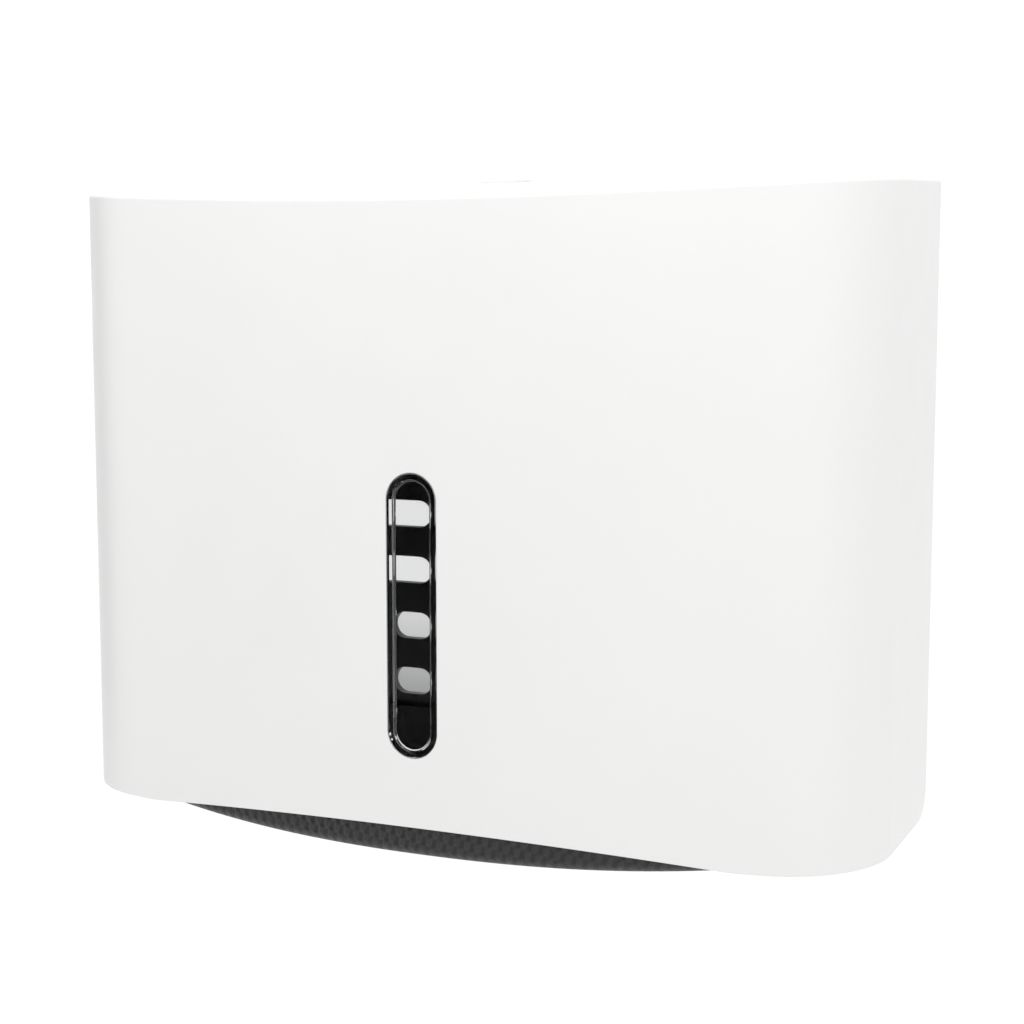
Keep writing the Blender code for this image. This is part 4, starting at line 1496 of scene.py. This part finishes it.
        centre = (0.0, self.outlet_y)
        outer = (self.outlet_half[0] + self.outlet_rim, self.outlet_half[1] + self.outlet_rim)
        rim_top = LEVEL + floor + self.outlet_rim_height
        rim = add_pill("outlet rim", Axis.Z, centre, outer, (LEVEL + floor - PAST, rim_top))
        upper = rim_top - TINY
        round_edges(rim, lambda edge: sharp(edge) and middle(edge).z > upper, self.outlet_rim_round, 2)
        combine(tray, Operation.ADD, self.bent(rim))
        depth = rim_top - LEVEL - self.bottom + PAST
        under = LEVEL + self.bottom
        outlet = add_lipped("outlet", Axis.Z, centre, self.outlet_half, under, depth, self.outlet_lip)
        combine(tray, Operation.CUT, self.bent(outlet))
        through = (inner_rear - PAST, self.rear + PAST)
        combine(tray, Operation.CUT, one_of(*screw_holes(TRAY_SCREWS, through)))
        round_edges(tray, self.brim_edge, SOFT_EDGE, 2)
        self.lay_map(tray)
        hand_over(tray, TRAY_WOVEN, Body.BASE, Slot.TRAY, "bottom_tray")
        self.paint_inside_shade(tray)
        return [tray]

    def paint_inside_shade(self, tray: Piece) -> None:
        """Gives the faces that look into the bowl a plain finish without the pattern, painted darker
        than the outside as shade.
        """
        TRAY_INSIDE_PAINTED_SHADE.dress(tray, extra=True)
        middle_y = (self.rear - self.front) / 2
        for face in tray.data.polygons:
            inwards = Vector((-face.center.x, middle_y - face.center.y, 0.0)).dot(face.normal) > 0.0
            under = LEVEL + self.bottom + self.rise(face.center.x)
            upwards = face.normal.z > self.slope_up
            if face.center.z > under + self.inside_share * self.wall:
                if upwards or (inwards and abs(face.normal.z) < SAME_WAY):
                    face.material_index = 1

    def brim_edge(self, edge: Edge) -> bool:
        """Whether an edge is on the tray's front or side brim."""
        place = middle(edge)
        on_brim = abs(place.z - LEVEL - self.top) < TINY
        return on_brim and sharp(edge) and edge.is_convex and place.y < self.rear - 2 * self.wall


@dataclass
class PanScrew:
    """A small pan-head screw with a cross recess, driven towards the wall."""

    shank_radius: float = 1.3 * MM
    head_radius: float = 3 * MM
    head_height: float = 1.9 * MM
    crown: float = 1.2 * MM
    recess: float = 3.4 * MM
    recess_width: float = 0.85 * MM
    recess_depth: float = 1 * MM
    recess_taper: float = 0.55

    def model(self, node: str, name: str) -> Piece:
        """Models a screw where a node is.

        Args:
            node: The node whose box gives its place.
            name: Name of the object.

        Returns:
            The screw.
        """
        low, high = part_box(node)
        place = centre_of(node)
        face, seat, tip = low.y, low.y + self.head_height, high.y
        soft = self.crown
        crown = arc((self.head_radius - soft, face + soft), soft, 0.0, -QUARTER, 6)
        profile = [(0.0, tip), (self.shank_radius - CLEAR, tip), (self.shank_radius, tip - 2 * CLEAR)]
        profile += [(self.shank_radius, seat), (self.head_radius, seat)] + crown + [(0.0, face)]
        screw = add_turned(name, Axis.Y, (place.x, place.z), profile)
        for turned in (False, True):
            half = [self.recess / 2, self.recess_width / 2]
            across, up = reversed(half) if turned else half
            corner = Vector((across, 0.0, up))
            start = Vector((place.x, face - PAST, place.z))
            end = Vector((place.x, face + self.recess_depth, place.z))
            slot = add_block("recess", start - corner, end + corner)
            with editing(slot, "FACE"):
                pick(slot, "FACE", lambda piece: piece.normal.y > SAME_WAY)
                bpy.ops.transform.resize(value=(self.recess_taper,) * 3, center_override=end)
            combine(screw, Operation.CUT, slot)
        return screw


@dataclass
class Screws:
    """The four screws of the tray and the two of the strike."""

    pattern: PanScrew

    def build(self) -> list[Piece]:
        """Models one screw, copies it to every other place, and hands each over.

        Returns:
            The six screws.
        """
        nodes = TRAY_SCREWS + STRIKE_SCREWS
        names = [node.replace("screw", "fixing") for node in nodes]
        first = self.pattern.model(nodes[0], names[0])
        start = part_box(nodes[0])[0]
        made = [first]
        for node, name in zip(nodes[1:], names[1:]):
            made.append(copy_of(first, name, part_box(node)[0] - start))
        for screw, node in zip(made, nodes):
            hand_over(screw, ZINC, Body.BASE, Slot.STEEL, node)
        return made


@dataclass
class Hinge:
    """The two headed pins that the cover turns on, and their washers."""

    pin_radius: float = 2 * MM
    head_radius: float = 3.6 * MM
    head: float = 1.8 * MM
    soft: float = 0.5 * MM
    washer_radius: float = 5 * MM
    washer_bore: float = 2.3 * MM
    washer_soft: float = 0.15 * MM

    def pin(self, name: str, side: int) -> Piece:
        """One pin, turned with a round-edged head inside and a bevelled tip outside."""
        node = f"hinge_pin_{name}"
        low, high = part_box(node)
        inner, outer = (low.x, high.x) if side > 0 else (high.x, low.x)
        place = centre_of(node)
        seat = inner + side * self.head
        start = math.pi if side > 0 else 0.0
        soft = self.soft
        corner = arc((inner + side * soft, self.head_radius - soft), soft, start, QUARTER, 4)
        profile = [(0.0, inner)] + [(radius, level) for level, radius in corner]
        profile += [(self.head_radius, seat), (self.pin_radius, seat)]
        profile += [(self.pin_radius, outer - side * soft), (self.pin_radius - soft, outer)]
        profile.append((0.0, outer))
        pin = add_turned(f"cover_pin_{name}", Axis.X, (place.y, place.z), profile)
        return hand_over(pin, ZINC, Body.BASE, Slot.STEEL, node)

    def washer(self, name: str) -> Piece:
        """One washer between the lug and the cover's boss."""
        node = f"hinge_washer_{name}"
        low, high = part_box(node)
        place = centre_of(node)
        soft = self.washer_soft
        profile = []
        corners = (
            (self.washer_radius, low.x, -1, 1),
            (self.washer_radius, high.x, -1, -1),
            (self.washer_bore, high.x, 1, -1),
            (self.washer_bore, low.x, 1, 1),
        )
        for turn, (radius, level, inwards, upwards) in enumerate(corners):
            before = (radius + inwards * soft, level)
            after = (radius, level + upwards * soft)
            profile += [before, after] if turn % 2 == 0 else [after, before]
        washer = add_turned(f"cover_washer_{name}", Axis.X, (place.y, place.z), profile)
        return hand_over(washer, NYLON, Body.BASE, Slot.NYLON, node)

    def build(self) -> list[Piece]:
        """Builds the pins and washers of both sides.

        Returns:
            The four pieces.
        """
        pins = [self.pin(name, side) for name, side in SIDES.items()]
        return pins + [self.washer(name) for name in SIDES]


@dataclass
class LockStrike:
    """Bent steel strip: a screwed foot, a shelf below the cam and a lip before it."""

    thickness: float = 1.5 * MM
    arm_x: Pair = (9.5 * MM, 20.5 * MM)
    foot_x: Pair = (5 * MM, 25 * MM)
    shelf: float = 167.5 * MM
    bend: float = 1.2 * MM
    foot_corner: float = 2 * MM

    def build(self) -> list[Piece]:
        """Builds the strike.

        Returns:
            The strike alone.
        """
        low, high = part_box("lock_strike")
        shelf = LEVEL + self.shelf
        corners = [(high.y, low.z + PAST), (high.y, shelf), (low.y + self.thickness, shelf)]
        corners.append((low.y + self.thickness, high.z))
        points = [Vector((self.arm_x[0], y, z)) for y, z in corners]
        strip = trace("strike_plate", points, False)
        with editing(strip, "EDGE"):
            select_all()
            push = (self.arm_x[1] - self.arm_x[0], 0, 0)
            bpy.ops.mesh.extrude_region_move(TRANSFORM_OT_translate={"value": push})
        with editing(strip, "FACE"):
            mesh = bmesh.from_edit_mesh(strip.data)
            top = max(mesh.faces, key=lambda face: abs(face.normal.z))
            wrong = top.normal.z < 0
            select_all()
            if wrong:
                bpy.ops.mesh.flip_normals()
        apply_modifier(strip, "SOLIDIFY", thickness=self.thickness, offset=-1, use_even_offset=True)
        round_edges(strip, self.outer_bend, self.bend + self.thickness, 6)
        round_edges(strip, self.inner_bend, self.bend, 6)
        foot_low = (self.foot_x[0], low.z)
        foot_high = (self.foot_x[1], shelf - self.thickness - self.bend)
        span = (high.y - self.thickness, high.y)
        foot = add_rounded("foot", Axis.Y, foot_low, foot_high, self.foot_corner, span, 6)
        combine(strip, Operation.ADD, foot)
        through = (high.y - self.thickness - PAST, high.y + PAST)
        combine(strip, Operation.CUT, one_of(*screw_holes(STRIKE_SCREWS, through)))
        return [hand_over(strip, ZINC, Body.BASE, Slot.STEEL, "lock_strike")]

    def outer_bend(self, edge: Edge) -> bool:
        """Whether an edge is on the outside of a bend."""
        return self.across(edge) and edge.is_convex and self.at_bend(edge)

    def inner_bend(self, edge: Edge) -> bool:
        """Whether an edge is on the inside of a bend."""
        return self.across(edge) and not edge.is_convex

    def across(self, edge: Edge) -> bool:
        """Whether a sharp edge runs across the strip."""
        way = edge.verts[1].co - edge.verts[0].co
        return abs(way.normalized().x) > SAME_WAY and sharp(edge)

    def at_bend(self, edge: Edge) -> bool:
        """Whether an edge is near the shelf's level, where the strip bends."""
        return abs(middle(edge).z - LEVEL - self.shelf) < 2 * self.thickness


# Lock


@dataclass
class Lock:
    """Key lock in the cover's top: housing, nut, turning barrel, cam and its screw."""

    housing_radius: float = 6.3 * MM
    housing_bore: float = 4.7 * MM
    flange: float = 1 * MM
    flange_radius: float = 9.2 * MM
    head_radius: float = 5.5 * MM
    head: float = 1.2 * MM
    barrel_radius: float = 4.4 * MM
    tang: float = 5.6 * MM
    keyway: Three = (1.8 * MM, 5.6 * MM, 9 * MM)
    nut_radius: float = 9 * MM
    cam_half_width: float = 4 * MM
    cam_hub_radius: float = 6 * MM
    shoulder: float = 176.7 * MM
    screw_shank: float = 1.3 * MM
    screw_head: float = 1.9 * MM
    screw_head_radius: float = 4.5 * MM
    screw_slot: Pair = (3.75 * MM, 0.5 * MM)
    screw_slot_depth: float = 1 * MM
    screw_hole_depth: float = 4 * MM
    plug_corner: float = 0.4 * MM
    ward_half: float = 0.6 * MM
    cam_corner: float = 1.5 * MM
    cam_soft: float = 0.25 * MM
    soft: float = 0.35 * MM

    @property
    def centre(self) -> Pair:
        """The lock's upright axis, as x and y."""
        place = centre_of("lock_barrel")
        return (place.x, place.y)

    def housing(self) -> Piece:
        """Fixed sleeve with a round-edged flange and a counterbore for the barrel's head."""
        low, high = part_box("lock_housing")
        face, seat = high.z, high.z - self.flange
        counter = face - self.head - CLEAR
        wide = self.head_radius + CLEAR
        rim = arc((self.flange_radius - self.soft, face - self.soft), self.soft, 0.0, QUARTER, 4)
        lip = arc((wide + CLEAR, face - CLEAR), CLEAR, QUARTER, 2 * QUARTER, 3)
        profile = [(self.housing_bore, low.z), (self.housing_radius - CLEAR, low.z)]
        profile += [(self.housing_radius, low.z + CLEAR), (self.housing_radius, seat)]
        profile.append((self.flange_radius, seat))
        profile += rim + lip + [(wide, counter), (self.housing_bore, counter)]
        housing = add_turned("lock_sleeve", Axis.Z, self.centre, profile, 72)
        return hand_over(housing, LOCK_WHITE, Body.COVER, Slot.LOCK, "lock_housing")

    def nut(self) -> Piece:
        """Six-sided nut with turned-off corners."""
        low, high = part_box("lock_nut")
        through = (low.z - PAST, high.z + PAST)
        nut = add_bar("lock_ring_nut", Axis.Z, self.centre, self.nut_radius, through, 6)
        with editing(nut):
            select_all()
            centre = (*self.centre, low.z)
            bpy.ops.transform.rotate(value=QUARTER / 3, orient_axis="Z", center_override=centre)
        cone = self.nut_radius * math.cos(QUARTER / 3) - CLEAR / 2
        rim = self.nut_radius - CLEAR / 10
        slope = 0.5 * (rim - cone)
        profile = [(0.0, low.z), (cone, low.z), (rim, low.z + slope)]
        profile += [(rim, high.z - slope), (cone, high.z), (0.0, high.z)]
        turned = add_turned("nut turning", Axis.Z, self.centre, profile, 96)
        apply_modifier(nut, "BOOLEAN", operation="INTERSECT", solver="EXACT", object=turned)
        bpy.data.objects.remove(turned, do_unlink=True)
        bore = add_bar("nut bore", Axis.Z, self.centre, self.housing_radius + CLEAR, through, 64)
        combine(nut, Operation.CUT, bore)
        return hand_over(nut, ZINC, Body.COVER, Slot.STEEL, "lock_nut")

    def barrel(self) -> Piece:
        """Turning plug with a keyway above and a square tang below."""
        low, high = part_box("lock_barrel")
        face, shoulder = high.z, LEVEL + self.shoulder
        rim = arc((self.head_radius - self.soft, face - self.soft), self.soft, 0.0, QUARTER, 4)
        seat = face - self.head
        profile = [(0.0, shoulder), (self.barrel_radius, shoulder), (self.barrel_radius, seat)]
        profile += [(self.head_radius, seat)] + rim + [(0.0, face)]
        barrel = add_turned("lock_plug", Axis.Z, self.centre, profile, 72)
        x, y = self.centre
        half = self.tang / 2
        corners = ((x - half, y - half), (x + half, y + half))
        span = (low.z, shoulder + PAST)
        tang = add_rounded("tang", Axis.Z, *corners, self.plug_corner, span, 3)
        combine(barrel, Operation.ADD, tang)
        wide, long, deep = self.keyway
        key_low, key_high = (x - wide / 2, y - long / 2), (x + wide / 2, y + long / 2)
        above = (face, face + PAST)
        keyway = add_rounded("keyway", Axis.Z, key_low, key_high, self.plug_corner, above, 3)
        step_cap(keyway, Vector((0, 0, -1)), [(0.0, deep)])
        ward_low = (x + wide / 4, y - self.ward_half, face - deep)
        ward = add_block("ward", ward_low, (x + wide, y + self.ward_half, face + PAST))
        combine(barrel, Operation.CUT, keyway, ward)
        span = (low.z - PAST, low.z + self.screw_hole_depth)
        hole = add_bar("screw hole", Axis.Z, self.centre, SCREW_HOLE_RADIUS, span, 24)
        combine(barrel, Operation.CUT, hole)
        return hand_over(barrel, LOCK_WHITE, Body.LOCK, Slot.LOCK, "lock_barrel")

    def cam(self) -> Piece:
        """Flat tongue on the tang, with rounded edges."""
        low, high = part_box("lock_cam")
        x, y = self.centre
        span = (low.z, high.z)
        cam = add_bar("lock_tongue", Axis.Z, self.centre, self.cam_hub_radius, span, 64)
        inner = (low.z + CLEAR / 10, high.z - CLEAR / 10)
        corners = ((x - self.cam_half_width, y), (x + self.cam_half_width, high.y))
        tongue = add_rounded("tongue", Axis.Z, *corners, self.cam_corner, inner, 6)

        def level_edge(edge: Edge) -> bool:
            """Whether a sharp edge runs level."""
            return sharp(edge) and abs(edge.verts[0].co.z - edge.verts[1].co.z) < TINY

        for shape in (cam, tongue):
            round_edges(shape, level_edge, self.cam_soft, 2)
        combine(cam, Operation.ADD, tongue)
        half = self.tang / 2 + CLEAR
        square_low = (x - half, y - half, low.z - PAST)
        hole = add_block("square", square_low, (x + half, y + half, high.z + PAST))
        combine(cam, Operation.CUT, hole)
        return hand_over(cam, ZINC, Body.LOCK, Slot.STEEL, "lock_cam")

    def screw(self) -> Piece:
        """Slotted screw that holds the cam from below."""
        low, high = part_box("cam_screw")
        seat = low.z + self.screw_head
        radius = self.screw_head_radius
        crown = arc((radius - 2 * self.soft, low.z + 2 * self.soft), 2 * self.soft, -QUARTER, 0.0, 5)
        profile = [(0.0, low.z)] + crown + [(radius, seat), (self.screw_shank, seat)]
        profile += [(self.screw_shank, high.z), (0.0, high.z)]
        screw = add_turned("cam_fixing", Axis.Z, self.centre, profile, 64)
        x, y = self.centre
        long, thin = self.screw_slot
        slot_low = (x - long, y - thin, low.z - PAST)
        slot = add_block("slot", slot_low, (x + long, y + thin, low.z + self.screw_slot_depth))
        combine(screw, Operation.CUT, slot)
        return hand_over(screw, ZINC, Body.LOCK, Slot.STEEL, "cam_screw")

    def build(self) -> list[Piece]:
        """Builds the lock.

        Returns:
            Its five pieces.
        """
        return [self.housing(), self.nut(), self.barrel(), self.cam(), self.screw()]


# Studio


@dataclass(frozen=True)
class SoftBox:
    """A large soft light."""

    name: str
    place: Three
    aim: Three
    size: Pair
    power: float

    def hang(self) -> Piece:
        """Puts the light in the scene and turns it to its aim."""
        lamp = bpy.data.lights.new(self.name, "AREA")
        lamp.shape = "RECTANGLE"
        lamp.size, lamp.size_y = self.size
        lamp.energy = self.power
        held = bpy.data.objects.new(self.name, lamp)
        bpy.context.scene.collection.objects.link(held)
        held.location = self.place
        way = Vector(self.aim) - Vector(self.place)
        held.rotation_euler = way.to_track_quat("-Z", "Y").to_euler()
        return held


@dataclass(frozen=True)
class Card:
    """A black card out of every camera's sight.

    Its turn is about the vertical, 0 for a card that faces the wall. A card that isn't for matt
    surfaces darkens only what they mirror.
    """

    name: str
    place: Three
    turn: float
    size: Pair
    matt: bool

    def hang(self) -> Piece:
        """Puts the card in the scene."""
        deselect()
        turned = (QUARTER, 0, self.turn)
        bpy.ops.mesh.primitive_plane_add(size=1, location=self.place, rotation=turned)
        bpy.context.active_object.scale = (*self.size, 1)
        card = adopt(self.name)
        card.visible_camera = False
        card.visible_diffuse = self.matt
        card.visible_shadow = False
        BlackCloth("black cloth").dress(card)
        return card


@dataclass
class Studio:
    """Pale floor, black cards, a backdrop with painted shade, soft lights and the camera."""

    floor_level: float = -0.6
    floor_size: float = 60.0
    sky: float = 1.07
    camera_place: Three = (0.25355, -0.59322, 0.06744)
    camera_pitch: float = math.radians(83.35)
    camera_yaw: float = math.radians(23.78)
    lens_length: float = 67.4
    shift_up: float = -0.0047
    lights: tuple[SoftBox, ...] = (
        SoftBox("key", (0.08, -0.28, 0.52), (0.02, -0.05, 0.0), (0.34, 0.2), 1.3),
        SoftBox("strip", (1.3, -0.9, 0.2), (0.1, 0.0, 0.0), (0.3, 1.4), 0.8),
    )

    cards: tuple[Card, ...] = (
        Card("window_flag", (-0.75, -1.5, -0.1), math.radians(-25), (1.3, 1.2), False),
        Card("left_flag", (-0.42, -0.04, 0.1), QUARTER, (0.13, 0.5), True),
        Card("low_flag", (0.0, -0.4, -0.36), 0.0, (0.4, 0.1), True),
    )
    backdrop_size: float = 1.6
    backdrop_place: Three = (-0.5, 1.0, -0.3)

    def lay_floor(self) -> Piece:
        """A wide pale floor well below the dispenser, which hangs free."""
        deselect()
        bpy.ops.mesh.primitive_plane_add(size=self.floor_size, location=(0.0, 0.0, self.floor_level))
        floor = adopt("studio_floor")
        StudioPaper("studio paper").dress(floor)
        return floor

    def hang_backdrop(self) -> Piece:
        """Paper with painted shade far behind, seen only through the clear window and the plate's
        slots.
        """
        deselect()
        place, turned = self.backdrop_place, (QUARTER, 0, 0)
        bpy.ops.mesh.primitive_plane_add(size=self.backdrop_size, location=place, rotation=turned)
        paper = adopt("studio_backdrop")
        for sense in ("camera", "diffuse", "glossy", "shadow"):
            setattr(paper, "visible_" + sense, False)
        PaintedShadePaper("paper with painted shade").dress(paper)
        return paper

    def light(self) -> None:
        """Sets the white surround and hangs the soft boxes."""
        world = bpy.data.worlds.new("white surround")
        world.use_nodes = True
        ground = world.node_tree.nodes["Background"]
        ground.inputs["Color"].default_value = (1.0, 1.0, 1.0, 1.0)
        ground.inputs["Strength"].default_value = self.sky
        bpy.context.scene.world = world
        for box in self.lights:
            box.hang()

    def aim_camera(self) -> None:
        """Sets the camera at the front, a little to the right and above the middle."""
        data = bpy.data.cameras.new("camera")
        data.lens = self.lens_length
        data.shift_y = self.shift_up
        data.clip_start = 10 * MM
        data.clip_end = 2 * self.floor_size
        camera = bpy.data.objects.new("camera", data)
        bpy.context.scene.collection.objects.link(camera)
        camera.location = self.camera_place
        camera.rotation_euler = (self.camera_pitch, 0.0, self.camera_yaw)
        bpy.context.scene.camera = camera
        bpy.context.scene.view_settings.view_transform = "Standard"

    def build(self) -> None:
        """Sets up floor, cards, lights and camera."""
        self.lay_floor()
        for card in self.cards:
            card.hang()
        self.hang_backdrop()
        self.light()
        self.aim_camera()


def main() -> None:
    """Builds every sub-assembly in turn and reports each piece."""
    logging.basicConfig(level=logging.INFO, format="%(name)s: %(message)s", stream=sys.stdout)
    assemblies = [
        FrontCover(Window()),
        BackPlate(),
        BottomTray(),
        Screws(PanScrew()),
        Hinge(),
        LockStrike(),
        Lock(),
    ]
    for assembly in assemblies:
        for piece in assembly.build():
            mesh = piece.data
            mesh.calc_loop_triangles()
            count = len(mesh.loop_triangles)
            log.info("%s: %s, %d triangles", type(assembly).__name__, piece.name, count)
    Studio().build()


if __name__ == "__main__":
    main()
